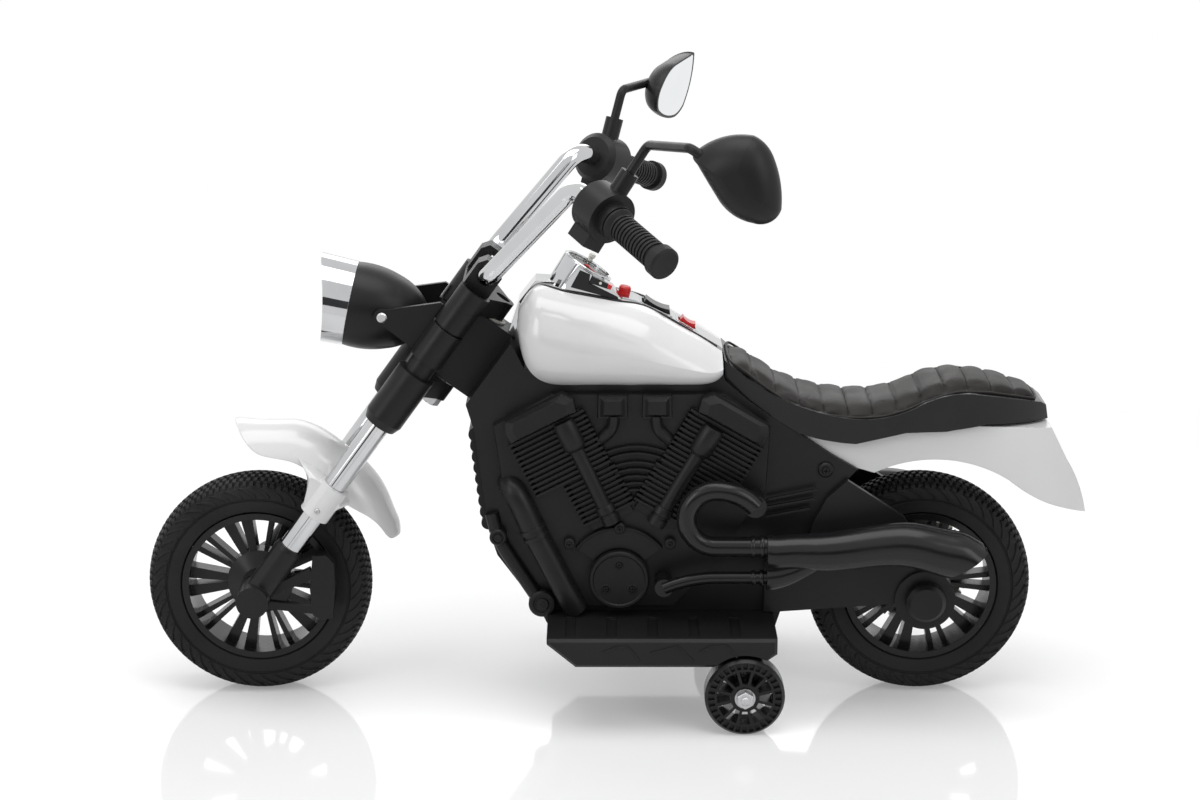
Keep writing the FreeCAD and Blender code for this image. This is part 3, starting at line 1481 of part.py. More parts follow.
rear_rod = across_cylinder("rear_rod", "axle_radius", "-arm_boss_outer", "arm_boss_outer", *rear_hub)
cap = make_body("rear_axle_cap")
cap_section = draw(cap, "section", "YZ_Plane", [[
    ("arm_boss_outer", "0"),
    ("arm_boss_outer", "axle_cap_radius"),
    ("axle_cap_outer - 0.2 * axle_cap_radius", "axle_cap_radius"),
    ("axle_cap_outer", "0.8 * axle_cap_radius"),
    ("axle_cap_outer", "0"),
]])
turn(cap, "turn", cap_section, "H_Axis")
place(cap, "rear_axle_x", "0", "wheel_radius")
spacer_outer = across_cylinder("spacer_outer", "spacer_radius",
                               "hub_half_width + run_gap", "arm_boss_inner", *rear_hub)
spacer_inner = across_cylinder("spacer_inner", "axle_radius",
                               "hub_half_width", "arm_boss_inner + overrun", *rear_hub)
spacer = cut("rear_spacer", spacer_outer, [spacer_inner])
node(group("rear_axle_set", [rear_rod, cap, twin("rear_cap_right", cap), spacer]), "rear_axle")

gear_teeth = 56
pinion_teeth = 12
gear_face = "-hub_half_width"


def make_gear(label, teeth, bore, first_angle):
    """A toothed disc; each tooth is a slim wedge, so that the pair runs with slack."""
    item = make_body(label)
    pitch = f"0.5 * {teeth} * gear_module"
    root = f"({pitch} - 1.3 * gear_module)"
    tip = f"({pitch} + 0.9 * gear_module)"
    disc = draw(item, "disc", "XZ_Plane", [], [(("0", "0"), root), (("0", "0"), bore)], "hub_half_width")
    pad(item, "disc", disc, "gear_width")
    tooth = draw(item, "tooth", "XZ_Plane", [[
        polar_point("0", "0", f"{root} - 0.3 * gear_module", "-0.78 * gear_module", first_angle),
        polar_point("0", "0", tip, "-0.34 * gear_module", first_angle),
        polar_point("0", "0", tip, "0.34 * gear_module", first_angle),
        polar_point("0", "0", f"{root} - 0.3 * gear_module", "0.78 * gear_module", first_angle),
    ]], offset="hub_half_width")
    ring_of(item, "teeth", pad(item, "tooth", tooth, "gear_width"), tooth, teeth)
    return item


gear = make_gear("drive_gear", gear_teeth, "axle_radius + run_gap", "(90 - pinion_angle)")
node(place(gear, "rear_axle_x", "0", "wheel_radius"), "drive_gear")
gear_reach = f"(0.5 * gear_module * {gear_teeth + pinion_teeth} + gear_slack)"
pinion_spot = (f"rear_axle_x + {gear_reach} * cos(pinion_angle * 1 deg)",
               f"wheel_radius + {gear_reach} * sin(pinion_angle * 1 deg)")
pinion_start = f"(270 - pinion_angle + 180 / {pinion_teeth})"
pinion = make_gear("motor_pinion", pinion_teeth, "pinion_shaft", pinion_start)
shaft = draw(pinion, "shaft", "XZ_Plane", [], [(("0", "0"), "pinion_shaft")], "hub_half_width")
pad(pinion, "shaft", shaft, "pinion_shaft_length")
node(place(pinion, pinion_spot[0], "0", pinion_spot[1]), "motor_pinion")

gear_case = box("gear_case", "gearbox_length", "gearbox_side", "gearbox_height",
                f"{pinion_spot[0]} - 0.5 * gearbox_length", "-body_half_width",
                f"{pinion_spot[1]} - 0.5 * gearbox_height")
shaft_hole = across_cylinder("shaft_hole", "pinion_shaft + run_gap",
                             "-hub_half_width - pinion_shaft_length - run_gap", "0", *pinion_spot)
case = cut("gear_case_bored", gear_case, [shaft_hole])
motor = doc.addObject("Part::Cylinder", "motor_can")
motor.setExpression("Radius", bound("motor_radius"))
motor.setExpression("Height", bound("motor_length"))
place(motor, f"{pinion_spot[0]} + 0.5 * gearbox_length", "motor_radius - body_half_width",
      pinion_spot[1], "90")
node(group("gear_motor_unit", [case, motor]), "gear_motor")

# Tank panels: a domed hollow half on each side, up to a seam beside the dash console

# stations from the nose to the rear: place, bottom, seam height, half width and foot as shares
tank_shares = [
    (1.01, 0.06, 0.306, 0.537, 0.60), (0.975, -0.306, 0.53, 0.725, 0.85), (0.90, -0.653, 0.755, 0.852, 1.0),
    (0.80, -0.867, 0.89, 0.926, 1.0), (0.66, -0.97, 0.867, 0.973, 1.0), (0.41, -0.984, 0.775, 1.0, 1.0),
    (0.11, -0.984, 0.653, 1.0, 1.0), (-0.20, -0.984, 0.49, 1.0, 1.0), (-0.44, -0.984, 0.224, 0.985, 1.0),
    (-0.69, -0.98, -0.075, 0.95, 1.0), (-0.88, -0.94, -0.316, 0.885, 1.0), (-0.99, -0.775, -0.46, 0.79, 1.0),
]
waist_share = 0.42
foot_bend_shares = (0.737, 0.18)
seam_bend_shares = (0.71, 0.707)


def tank_ring(station, inset):
    """Half of the tank across the bike at one station, drawn in by an inset."""
    along, low, high, wide, foot = station
    x = number("tank_x") + along * (number("tank_half_length") - inset)
    bottom = number("tank_z") + low * number("tank_half_height") + inset
    top = number("tank_z") + high * number("tank_half_height") - inset
    half = wide * number("body_half_width + tank_swell") - inset
    foot_y = foot * number("body_half_width")
    seam = number("tank_seam") - inset
    waist = bottom + waist_share * (top - bottom)
    bend = (foot_y + foot_bend_shares[0] * (half - foot_y), bottom + foot_bend_shares[1] * (top - bottom))
    shoulder = (seam + seam_bend_shares[0] * (half - seam), waist + seam_bend_shares[1] * (top - waist))
    points = [FreeCAD.Vector(x, y, z) for y, z in (
        (seam, top), shoulder, (half, waist), bend, (foot_y, bottom), (seam, bottom))]
    return Part.Wire([
        Part.Arc(*points[0:3]).toShape(),
        Part.Arc(*points[2:5]).toShape(),
        Part.makeLine(points[4], points[5]),
        Part.makeLine(points[5], points[0]),
    ])


tank_skin = Part.makeLoft([tank_ring(station, 0) for station in tank_shares], True)
tank_space = Part.makeLoft([tank_ring(station, number("tank_wall")) for station in tank_shares], True)
pod_room = cylinder("pod_room", "pod_radius + part_gap", "pod_height + overrun")
pod_way = ("sin(pod_tilt * 1 deg)", "cos(pod_tilt * 1 deg)")


def below_pod(depth):
    return (f"pod_x + ({depth}) * {pod_way[0]}", "0", f"pod_z - ({depth}) * {pod_way[1]}", "-pod_tilt")


place(pod_room, *below_pod("pod_height"))
doc.recompute()
tank = solid_feature("tank_half", tank_skin.cut(tank_space).cut(shell_pad.Shape).cut(pod_room.Shape))
node(tank, "tank_panel_left")
node(twin("tank_panel_twin", tank), "tank_panel_right")

# Dash console between the tank panels, with the gauge pod and the switches

console_top_shares = [(1.10, -0.08), (1.0, 0.53), (0.835, 0.96), (0.66, 0.94), (0.34, 0.80), (-0.12, 0.58),
                      (-0.47, 0.235), (-0.94, -0.34), (-1.0, -0.42)]
console_low_shares = [(-1.0, -0.57), (-0.93, -0.47), (-0.47, 0.10), (-0.12, 0.45), (0.34, 0.67), (0.64, 0.80),
                      (0.79, 0.80), (0.93, 0.43), (1.04, -0.08)]
console = make_body("console_strip")
console_line = shares(console_top_shares + console_low_shares,
                      "tank_x", "tank_half_length", "tank_z", "tank_half_height")
console_side = draw(console, "outline", "XZ_Plane", [console_line])
pad(console, "pad", console_side, "2 * tank_seam - 2 * part_gap", both=True)


def on_slope(x, step):
    """Height and lean of the console top at a place along one of its straight stretches."""
    first = console_line[step]
    last = console_line[step + 1]
    rise = f"(({last[1]}) - ({first[1]})) / (({last[0]}) - ({first[0]}))"
    return f"({first[1]}) + (({x}) - ({first[0]})) * {rise}", f"-1 * atan({rise}) / 1 deg"


def set_on_console(item, x, step):
    height, lean = on_slope(x, step)
    return place(item, x, "0", height, lean)


def console_block(label, length, width, top, depth, x, step):
    """A box sunk into the console square to its slope."""
    item = make_body(label)
    outline = draw(item, "outline", "XY_Plane", [[
        (f"-0.5 * ({length})", f"-0.5 * ({width})"),
        (f"0.5 * ({length})", f"-0.5 * ({width})"),
        (f"0.5 * ({length})", f"0.5 * ({width})"),
        (f"-0.5 * ({length})", f"0.5 * ({width})"),
    ]], offset=top)
    pad(item, "pad", outline, depth, flip=True)
    return set_on_console(item, x, step)


def console_pin(label, radius, width, x, step):
    item = make_body(label)
    ring = draw(item, "ring", "XZ_Plane", [], [(("0", "-pivot_drop"), radius)])
    pad(item, "pad", ring, width, both=True)
    return set_on_console(item, x, step)


def make_rocker(label, length, width):
    item = make_body(label)
    half = f"0.5 * {length}"
    side = draw(item, "side", "XZ_Plane", [[
        (f"-{half} + 0.5 * switch_frame", "-rocker_depth"),
        (f"{half} - 0.5 * switch_frame", "-rocker_depth"),
        (half, "-pivot_drop"),
        (f"{half} - 0.8 * switch_frame", "rocker_lift"),
        ("arc", "0", "0.6 * rocker_lift"),
        (f"-{half} + 0.8 * switch_frame", "rocker_lift"),
        (f"-{half}", "-pivot_drop"),
    ]])
    pad(item, "side", side, width, both=True)
    pin = draw(item, "pin", "XZ_Plane", [], [(("0", "-pivot_drop"), "pivot_radius")])
    pad(item, "pin", pin, f"{width} + 2 * pivot_reach", both=True)
    return item


switches = (("direction", "rocker_x", "rocker_length", "rocker_span", 5),
            ("power", "power_x", "power_length", "power_span", 6))
console_adds = [console]
console_cuts = []
for word, x, length, span, step in switches:
    console_adds.append(console_block(f"{word}_frame", f"{length} + 2 * switch_frame",
                                      f"{span} + 2 * switch_frame", "part_gap", "switch_box", x, step))
    console_cuts.append(console_block(f"{word}_slot", f"{length} + 2 * part_gap", f"{span} + 2 * part_gap",
                                      "overrun", "switch_box + 2 * overrun", x, step))
    console_cuts.append(console_pin(f"{word}_pin_hole", "pivot_radius + run_gap",
                                    f"{span} + 2 * pivot_reach + 2 * part_gap", x, step))
    rocker = make_rocker(f"{word}_rocker_cap", length, span)
    node(set_on_console(rocker, x, step), f"{word}_rocker")

pod = cylinder("gauge_pod", "pod_radius", "pod_height")
console_adds.append(place(pod, *below_pod("pod_height")))
recess = cylinder("gauge_recess", "gauge_radius", "lens_recess + overrun")
console_cuts.append(place(recess, *below_pod("lens_recess")))
gauge = cylinder("gauge_disc", "gauge_radius", "gauge_thickness")
node(place(gauge, *below_pod("lens_recess")), "gauge_lens")

horn_step = 4
guide = cylinder("horn_guide", "horn_radius + horn_wall", "horn_stem - horn_travel")
guide_height, guide_lean = on_slope("horn_x", horn_step)
guide_way = f"({guide_lean})"
guide_depth = "(horn_stem - horn_travel)"
console_adds.append(place(guide, f"horn_x - {guide_depth} * sin({guide_way} * 1 deg)", "0",
                          f"{guide_height} - {guide_depth} * cos({guide_way} * 1 deg)", guide_lean))
horn_bore = cylinder("horn_bore", "horn_radius + run_gap", "2 * horn_stem")
console_cuts.append(place(horn_bore, f"horn_x - horn_stem * sin({guide_way} * 1 deg)", "0",
                          f"{guide_height} - horn_stem * cos({guide_way} * 1 deg)", guide_lean))
node(cut("dash_console_whole", fuse("dash_console_solid", console_adds), console_cuts), "dash_console")

horn = make_body("horn_cap")
flange_top = "horn_travel - horn_stem - part_gap"
horn_section = draw(horn, "section", "XZ_Plane", [[
    ("0", "-horn_stem - part_gap"),
    ("horn_flange", "-horn_stem - part_gap"),
    ("horn_flange", flange_top),
    ("horn_radius", flange_top),
    ("horn_radius", "0.8 * horn_lift"),
    ("0.8 * horn_radius", "horn_lift"),
    ("0", "horn_lift"),
]])
turn(horn, "turn", horn_section, "V_Axis")
node(set_on_console(horn, "horn_x", horn_step), "horn_button")

# Seat: a hollow gloss base and a sewn pad on top of it

seat_top_shares = [(0.0, 0.97), ("arc", 0.165, 0.535), (0.396, 0.285), ("arc", 0.50, 0.315), (0.60, 0.465),
                   ("arc", 0.68, 0.565), (0.745, 0.585), ("arc", 0.86, 0.51), (0.975, 0.395)]
seat_end_shares = [(0.992, 0.345), (1.0, 0.17), (0.80, 0.205), (0.676, 0.122), (0.552, 0.115), (0.40, -0.02),
                   ("arc", 0.31, 0.02)]
seat_plan_shares = [(0.0, 0.80), ("arc", 0.33, 1.0), (0.70, 0.95), ("arc", 0.90, 0.74), (1.0, 0.34)]


def to_rear(points):
    return [point[:-2] + (-point[-2], point[-1]) for point in points]


def seat_shares(points):
    return shares(to_rear(points), "seat_front_x", "seat_length", "seat_low_z", "seat_rise")


def lowered(points, drop):
    return [point[:-1] + (f"{point[-1]} - {drop}",) for point in points]


def plan_form(label, side_outline, plan, front, length, half, inset):
    """A side outline across the bike, trimmed to a plan outline that is drawn in by an inset."""
    item = make_body(label)
    side = draw(item, "side", "XZ_Plane", [side_outline])
    pad(item, "side", side, f"2 * {half} + 2 * overrun", both=True)
    right = shares(to_rear(plan), f"{front} - {inset}", f"({length} - 2 * {inset})",
                   "0", f"({half} - {inset})")
    left = [point[:-1] + (f"-1 * ({point[-1]})",) for point in reversed(right)]
    reach = f"({half} + 4 * overrun)"
    ahead = f"{front} + 4 * overrun"
    behind = f"{front} - {length} - 4 * overrun"
    frame = [(ahead, f"-{reach}"), (ahead, reach), (behind, reach), (behind, f"-{reach}")]
    pocket(item, "plan", draw(item, "plan", "XY_Plane", [frame, right + left]), flip=True)
    return item


def seat_form(label, side_outline, inset):
    return plan_form(label, side_outline, seat_plan_shares,
                     "seat_front_x", "seat_length", "seat_half_width", inset)


seat_line = seat_shares(seat_top_shares + seat_end_shares) + list(reversed(seat_flank))
seat_outer = seat_form("seat_outer", seat_line, "0")
seat_floor = "seat_low_z - 2 * overrun"
seat_ceiling = lowered(seat_shares(seat_top_shares), "seat_wall")
seat_ceiling += [(seat_ceiling[-1][0], seat_floor), ("seat_front_x", seat_floor)]
seat_inner = seat_form("seat_inner", seat_ceiling, "seat_wall")
node(cut("seat_base_shell", seat_outer, [seat_inner]), "seat_base")

# stations along the pad: place, seam height, half width and crown as shares
pad_line_shares = [
    (0.012, 0.95, 0.80, 0.25), (0.053, 0.86, 0.84, 0.38), (0.094, 0.725, 0.87, 0.50),
    (0.168, 0.528, 0.93, 0.75), (0.25, 0.373, 0.97, 0.92), (0.32, 0.317, 0.99, 1.0),
    (0.40, 0.285, 1.0, 1.0), (0.48, 0.30, 1.0, 1.0), (0.55, 0.379, 0.99, 0.98),
    (0.635, 0.523, 0.96, 0.90), (0.71, 0.595, 0.92, 0.82), (0.80, 0.575, 0.85, 0.66),
    (0.88, 0.51, 0.72, 0.46), (0.962, 0.43, 0.50, 0.25),
]


def pad_station(place_share):
    """Seam height, half width and crown shares between two stations."""
    for first, last in zip(pad_line_shares, pad_line_shares[1:]):
        if place_share <= last[0] or last is pad_line_shares[-1]:
            share = (place_share - first[0]) / (last[0] - first[0])
            return [a + (b - a) * share for a, b in zip(first[1:], last[1:])]


cushion = make_body("cushion")
channel_count = 12
steps = 2 * channel_count + 2
pad_start = pad_line_shares[0][0]
pad_reach = pad_line_shares[-1][0] - pad_start
pad_sections = []
for index in range(steps + 1):
    place_share = pad_start + pad_reach * index / steps
    seam, wide, crown = pad_station(place_share)
    sunk = "1" if index % 2 == 0 and 0 < index < steps else "0"
    low = f"(seat_low_z + {seam:.4f} * seat_rise)"
    half = f"({wide:.4f} * seat_half_width - pad_inset - {sunk} * 0.4 * pad_groove)"
    shoulder = f"{low} + 0.3 * {crown:.4f} * pad_crown"
    pad_sections.append(draw(cushion, f"section_{index}", "YZ_Plane", [[
        (f"-{half} + 0.6 * pad_inset", f"{low} - pad_sink"),
        (f"{half} - 0.6 * pad_inset", f"{low} - pad_sink"),
        ("arc", f"{half} + 0.1 * pad_inset", f"{low} - 0.1 * pad_sink"),
        (f"{half} - 0.35 * pad_inset", f"{shoulder} - {sunk} * 0.4 * pad_groove"),
        ("arc", "0", f"{low} + {crown:.4f} * pad_crown - {sunk} * pad_groove"),
        (f"-{half} + 0.35 * pad_inset", f"{shoulder} - {sunk} * 0.4 * pad_groove"),
        ("arc", f"-{half} - 0.1 * pad_inset", f"{low} - 0.1 * pad_sink"),
    ]], offset=f"seat_front_x - {place_share:.4f} * seat_length"))
for step in range(0, steps, 2):
    loft(cushion, f"roll_{step}", "Additive", pad_sections[step:step + 3])
node(cut("seat_cushion", cushion, [seat_outer]), "seat_pad")

# Rear fender: a hollow form open below

guard_shares = [(0.741, 0.455), ("arc", 0.538, 0.576), (0.283, 0.384), ("arc", 0.203, 0.241), (0.134, 0.152),
                (0.0, 0.018), ("arc", 0.031, 0.286), (0.086, 0.5625), (0.145, 0.86), (0.40, 0.88),
                (0.586, 0.92), (0.93, 0.884)]
guard_space_shares = [(0.93, 0.80), (0.586, 0.89), (0.40, 0.85), (0.163, 0.83), (0.103, 0.554), (0.045, 0.25),
                      (0.018, 0.036), (0.018, -0.2), (0.783, -0.2), (0.783, 0.55), (0.879, 0.67)]
guard_plan_shares = [(0.0, 1.0), (0.78, 1.0), ("arc", 0.90, 0.84), (1.0, 0.38)]


def guard_loop(points):
    return shares(points, "guard_rear_x", "guard_length", "guard_low_z", "guard_height")


def guard_form(label, side_outline, inset):
    return plan_form(label, side_outline, guard_plan_shares, "(guard_rear_x + guard_length + overrun)",
                     "(guard_length + overrun)", "guard_half_width", inset)


guard_outer = guard_form("guard_outer", [seat_flank[-1]] + guard_front + guard_loop(guard_shares), "0")
guard_inner = guard_form("guard_inner", guard_loop(guard_space_shares), "guard_wall")
node(cut("rear_guard", guard_outer, [guard_inner]), "rear_fender")

# Footboards and the accelerator pedal

board_shares = [(0.0, 1.0), (0.0, 0.80), (0.125, 0.0), (0.915, 0.0), (1.0, 0.45), (1.0, 1.0)]
tread_shares = [0.08, 0.26, 0.44, 0.62, 0.80]
board = make_body("footboard")
board_line = shares(to_rear(board_shares), "board_front_x", "board_length", "board_low_z", "board_thickness")
board_pad = pad(board, "pad", draw(board, "side", "XZ_Plane", [board_line], offset="-board_outer"),
                "board_outer - body_half_width")
outer_edges = [f"Edge{index + 1}" for index, edge in enumerate(board_pad.Shape.Edges)
               if all(abs(vertex.Y - number("board_outer")) < number("run_gap") for vertex in edge.Vertexes)]
bevel = board.newObject("PartDesign::Chamfer", "footboard_bevel")
bevel.Base = (board_pad, outer_edges)
bevel.setExpression("Size", bound("board_chamfer"))
doc.recompute()
slots = []
for share in tread_shares:
    x = f"board_front_x - {share} * board_length"
    near = "body_half_width + 2 * board_margin"
    far = "board_outer - board_margin"
    slots.append([(x, near), (x, far), (f"{x} - board_margin", far), (f"{x} - board_margin", near)])
tread = draw(board, "tread", "XY_Plane", slots, offset=board_top)
pocket(board, "tread", tread, "board_tread_depth")
under_near = "body_half_width + board_margin"
under_far = "stabiliser_inner - board_margin"
under_front = "board_front_x - 0.15 * board_length"
under_rear = "board_front_x - 0.90 * board_length"
under = draw(board, "under", "XY_Plane", [[
    (under_front, under_near), (under_front, under_far), (under_rear, under_far), (under_rear, under_near),
]], offset="board_low_z")
pocket(board, "under", under, "0.7 * board_thickness", flip=True)
well = draw(board, "well", "XZ_Plane", [], [(("stabiliser_x", "stabiliser_radius"), "well_radius")],
            "washer_thickness - stabiliser_inner")
pocket(board, "well", well)
node(board, "footboard_left")
trough = across_cylinder("pedal_trough", "pedal_pin + run_gap", "pedal_y - 0.5 * pedal_pin_width - part_gap",
                         "pedal_y + 0.5 * pedal_pin_width + part_gap", "pedal_rear_x", board_top)
node(cut("footboard_bored", twin("footboard_twin", board), [trough]), "footboard_right")

pedal = make_body("pedal")
pedal_pin = draw(pedal, "pin", "XZ_Plane", [], [(("0", "0"), "pedal_pin")])
pad(pedal, "pin", pedal_pin, "pedal_pin_width", both=True)
pedal_plate = draw(pedal, "plate", "XZ_Plane", [[
    ("-0.5 * pedal_pin", "0.1 * pedal_thickness"),
    ("pedal_length", "0.1 * pedal_thickness"),
    ("pedal_length", "0.7 * pedal_thickness"),
    ("pedal_length - 0.6 * pedal_thickness", "1.1 * pedal_thickness"),
    ("-0.5 * pedal_pin", "1.1 * pedal_thickness"),
]])
pad(pedal, "plate", pedal_plate, "pedal_width", both=True)
node(place(pedal, "pedal_rear_x", "pedal_y", board_top, "-pedal_angle"), "accelerator_pedal")

# Stabilisers: one bent strap, two bolts and two small wheels

strap = make_body("stabiliser_strap")
strap_low = "belly_z - bracket_drop"
strap_in = "(bracket_plate_outer - bracket_thickness)"
strap_line = draw(strap, "line", "YZ_Plane", [[
    ("-bracket_plate_outer", "belly_z"),
    ("bracket_plate_outer", "belly_z"),
    ("bracket_plate_outer", strap_low),
    (strap_in, strap_low),
    (strap_in, "belly_z - bracket_thickness"),
    (f"-{strap_in}", "belly_z - bracket_thickness"),
    (f"-{strap_in}", strap_low),
    ("-bracket_plate_outer", strap_low),
]])
pad(strap, "pad", strap_line, "2 * bracket_half_length", both=True)
strap_hole = draw(strap, "hole", "XZ_Plane", [], [(("0", "stabiliser_radius"), "bolt_radius")])
pocket(strap, "hole", strap_hole, "2 * bracket_plate_outer + 2 * overrun", both=True)
node(place(strap, "stabiliser_x"), "stabiliser_bracket")

bolt = make_body("stabiliser_bolt")
wheel_end = "stabiliser_inner + stabiliser_width + part_gap"
bolt_section = draw(bolt, "section", "YZ_Plane", [[
    (f"{strap_in} - nut_thickness", "0"),
    (f"{strap_in} - nut_thickness", "nut_size"),
    (strap_in, "nut_size"),
    (strap_in, "bolt_radius"),
    (wheel_end, "bolt_radius"),
    (wheel_end, "washer_radius"),
    (f"{wheel_end} + washer_thickness", "washer_radius"),
    (f"{wheel_end} + washer_thickness", "nut_size"),
    (f"{wheel_end} + washer_thickness + nut_thickness", "nut_size"),
    (f"{wheel_end} + washer_thickness + nut_thickness", "0"),
]])
turn(bolt, "turn", bolt_section, "H_Axis")
place(bolt, "stabiliser_x", "0", "stabiliser_radius")
node(group("stabiliser_bolt_pair", [bolt, twin("stabiliser_bolt_right", bolt)]), "stabiliser_bolts")

small = make_body("stabiliser_wheel")
small_outer = "stabiliser_inner + stabiliser_width"
small_section = draw(small, "section", "YZ_Plane", [[
    ("stabiliser_inner", "bolt_radius + run_gap"),
    ("stabiliser_inner", "0.93 * stabiliser_radius"),
    ("stabiliser_inner + 0.15 * stabiliser_width", "stabiliser_radius"),
    ("stabiliser_inner + 0.85 * stabiliser_width", "stabiliser_radius"),
    (small_outer, "0.93 * stabiliser_radius"),
    (small_outer, "bolt_radius + run_gap"),
]])
turn(small, "turn", small_section, "H_Axis")


def wedge(inner, outer, inner_half, outer_half):
    return [
        polar_point("0", "0", inner, f"-{inner_half}", "0"),
        polar_point("0", "0", outer, f"-{outer_half}", "0"),
        polar_point("0", "0", outer, outer_half, "0"),
        polar_point("0", "0", inner, inner_half, "0"),
    ]


window_count = 12
tooth_count = 32
window_wedge = wedge("stabiliser_window_inner", "stabiliser_window_outer",
                     "0.17 * stabiliser_window_inner", "0.21 * stabiliser_window_outer")
window = draw(small, "window", "XZ_Plane", [window_wedge])
ring_of(small, "windows", pocket(small, "window", window), window, window_count)
tooth_wedge = wedge("stabiliser_tooth_inner", "stabiliser_tooth_outer",
                    "0.065 * stabiliser_tooth_inner", "0.065 * stabiliser_tooth_outer")
tooth = draw(small, "tooth", "XZ_Plane", [tooth_wedge],
             offset=f"-1 * ({small_outer} - stabiliser_tooth_depth)")
ring_of(small, "teeth", pocket(small, "tooth", tooth), tooth, tooth_count)
place(small, "stabiliser_x", "0", "stabiliser_radius")
node(small, "stabiliser_wheel_left")
node(twin("stabiliser_wheel_twin", small), "stabiliser_wheel_right")

# Inside the body: battery, speaker, circuit board, wiring loom and charging socket

battery_floor = "belly_z + shell_wall"
battery_case = box("battery_case", "battery_length", "battery_width", "battery_height",
                   "battery_x - 0.5 * battery_length", "-0.5 * battery_width", battery_floor)
battery = doc.addObject("Part::Fillet", "battery_rounded")
battery.Base = battery_case
upright = [index + 1 for index, edge in enumerate(battery_case.Shape.Edges)
           if abs(edge.Vertexes[0].Z - edge.Vertexes[-1].Z) > number("battery_round")]
battery.Edges = [(index, number("battery_round"), number("battery_round")) for index in upright]
doc.recompute()
node(battery, "battery")

speaker = make_body("speaker_unit")
speaker_section = draw(speaker, "section", "XZ_Plane", [[
    ("0", "0"),
    ("speaker_magnet_radius", "0"),
    ("speaker_magnet_radius", "speaker_magnet_height"),
    ("speaker_radius", "speaker_height - 0.3 * speaker_magnet_height"),
    ("speaker_radius", "speaker_height"),
    ("0", "speaker_height"),
]])
turn(speaker, "turn", speaker_section, "V_Axis")
node(place(speaker, "speaker_x", "0", "tank_floor_z"), "speaker")

circuit = box("circuit_case", "circuit_length", "circuit_width", "circuit_height",
              "board_x - 0.5 * circuit_length", "-0.5 * circuit_width", "tank_floor_z")
node(circuit, "control_board")

battery_top = number(f"{battery_floor} + battery_height")
circuit_front = number("board_x + 0.5 * circuit_length")
loom_level = number("tank_floor_z + 0.6 * circuit_height")
loom_start = number("battery_x")
loom_rise = number("loom_x")
loom_points = [
    FreeCAD.Vector(loom_start, 0, battery_top),
    FreeCAD.Vector(loom_start, 0, battery_top + number("0.5 * battery_height")),
    FreeCAD.Vector(loom_rise, 0, battery_top + number("battery_height")),
    FreeCAD.Vector(loom_rise, 0, loom_level),
    FreeCAD.Vector(circuit_front, 0, loom_level),
]
loom_wire = bent_wire(loom_points, number("loom_bend"))
node(solid_feature("loom_lead", swept_rod(loom_wire, number("loom_radius"))), "wiring_loom")

charge = make_body("charge_socket")
charge_section = draw(charge, "section", "YZ_Plane", [[
    ("-body_half_width - charge_flange_thickness", "charge_bore"),
    ("-body_half_width - charge_flange_thickness", "charge_flange"),
    ("-body_half_width", "charge_flange"),
    ("-body_half_width", "charge_barrel"),
    ("charge_depth - body_half_width", "charge_barrel"),
    ("charge_depth - body_half_width", "0"),
    ("charge_bore_depth - body_half_width - charge_flange_thickness", "0"),
    ("charge_bore_depth - body_half_width - charge_flange_thickness", "charge_bore"),
]])
turn(charge, "turn", charge_section, "H_Axis")
node(place(charge, "charge_x", "0", "charge_z"), "charging_socket")

# Fork fasteners: a screw in each headlight ear and the nut under the steering stem

ear_screw_body = make_body("ear_screw")
ear_face = "(ear_half_gap + ear_width)"
ear_screw_section = draw(ear_screw_body, "section", "YZ_Plane", [[
    (f"{ear_face} - 0.8 * screw_length", "0"),
    (f"{ear_face} - 0.8 * screw_length", "screw_radius"),
    (ear_face, "screw_radius"),
    (ear_face, "screw_head"),
    (f"{ear_face} + 0.6 * screw_head_height", "screw_head"),
    (f"{ear_face} + screw_head_height", "0.7 * screw_head"),
    (f"{ear_face} + screw_head_height", "0"),
]])
turn(ear_screw_body, "turn", ear_screw_section, "H_Axis")
ear_spot = fork_point("ear_along", "ear_ahead")
place(ear_screw_body, ear_spot[0], "0", ear_spot[1])
nut_blank = doc.addObject("Part::Prism", "stem_nut_blank")
nut_blank.Polygon = 6
nut_blank.setExpression("Circumradius", bound("nut_radius"))
nut_blank.setExpression("Height", bound("nut_height"))
nut_foot = fork_point("lower_yoke_low - nut_height", "-stem_setback")
place(nut_blank, nut_foot[0], "0", nut_foot[1], "-rake")
stem_nut = cut("stem_nut", nut_blank, [stem])
ear_screws = [ear_screw_body, twin("ear_screw_right", ear_screw_body)]
node(group("fork_screw_set", ear_screws + [stem_nut]), "fork_screws")

# Check and write every piece

doc.recompute()
for item in doc.Objects:
    if "Invalid" in item.State or "Error" in item.State:
        raise RuntimeError(f"{item.Label}: {item.State}")
os.makedirs("parts", exist_ok=True)
for item in nodes:
    if item.Shape.isNull() or not item.Shape.isValid():
        raise RuntimeError(f"{item.Label} has no valid shape")
    item.Shape.exportStep(f"parts/{item.Label}.step")
    low = item.Shape.BoundBox
    print(f"{item.Label}: {len(item.Shape.Solids)} solids, {item.Shape.Volume / 1000:.1f} cm3, "
          f"X {low.XMin:.1f} {low.XMax:.1f}, Y {low.YMin:.1f} {low.YMax:.1f}, "
          f"Z {low.ZMin:.1f} {low.ZMax:.1f}")
print(f"{len(nodes)} pieces written")
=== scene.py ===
# %% [markdown]
# # A child's electric motorbike, dressed around its CAD frame
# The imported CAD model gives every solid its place. This lesson loads it, sets up the camera and a plain
# studio, gives each piece its finish, and then makes the pieces that solids alone can't show: tyres with
# tread, a sewn seat pad, the small castings on the engine, the dial, the lamp's inside and the fasteners.

# %% Load the frame
import math
import bmesh
import bpy
from mathutils import Matrix, Vector
from mathutils.bvhtree import BVHTree


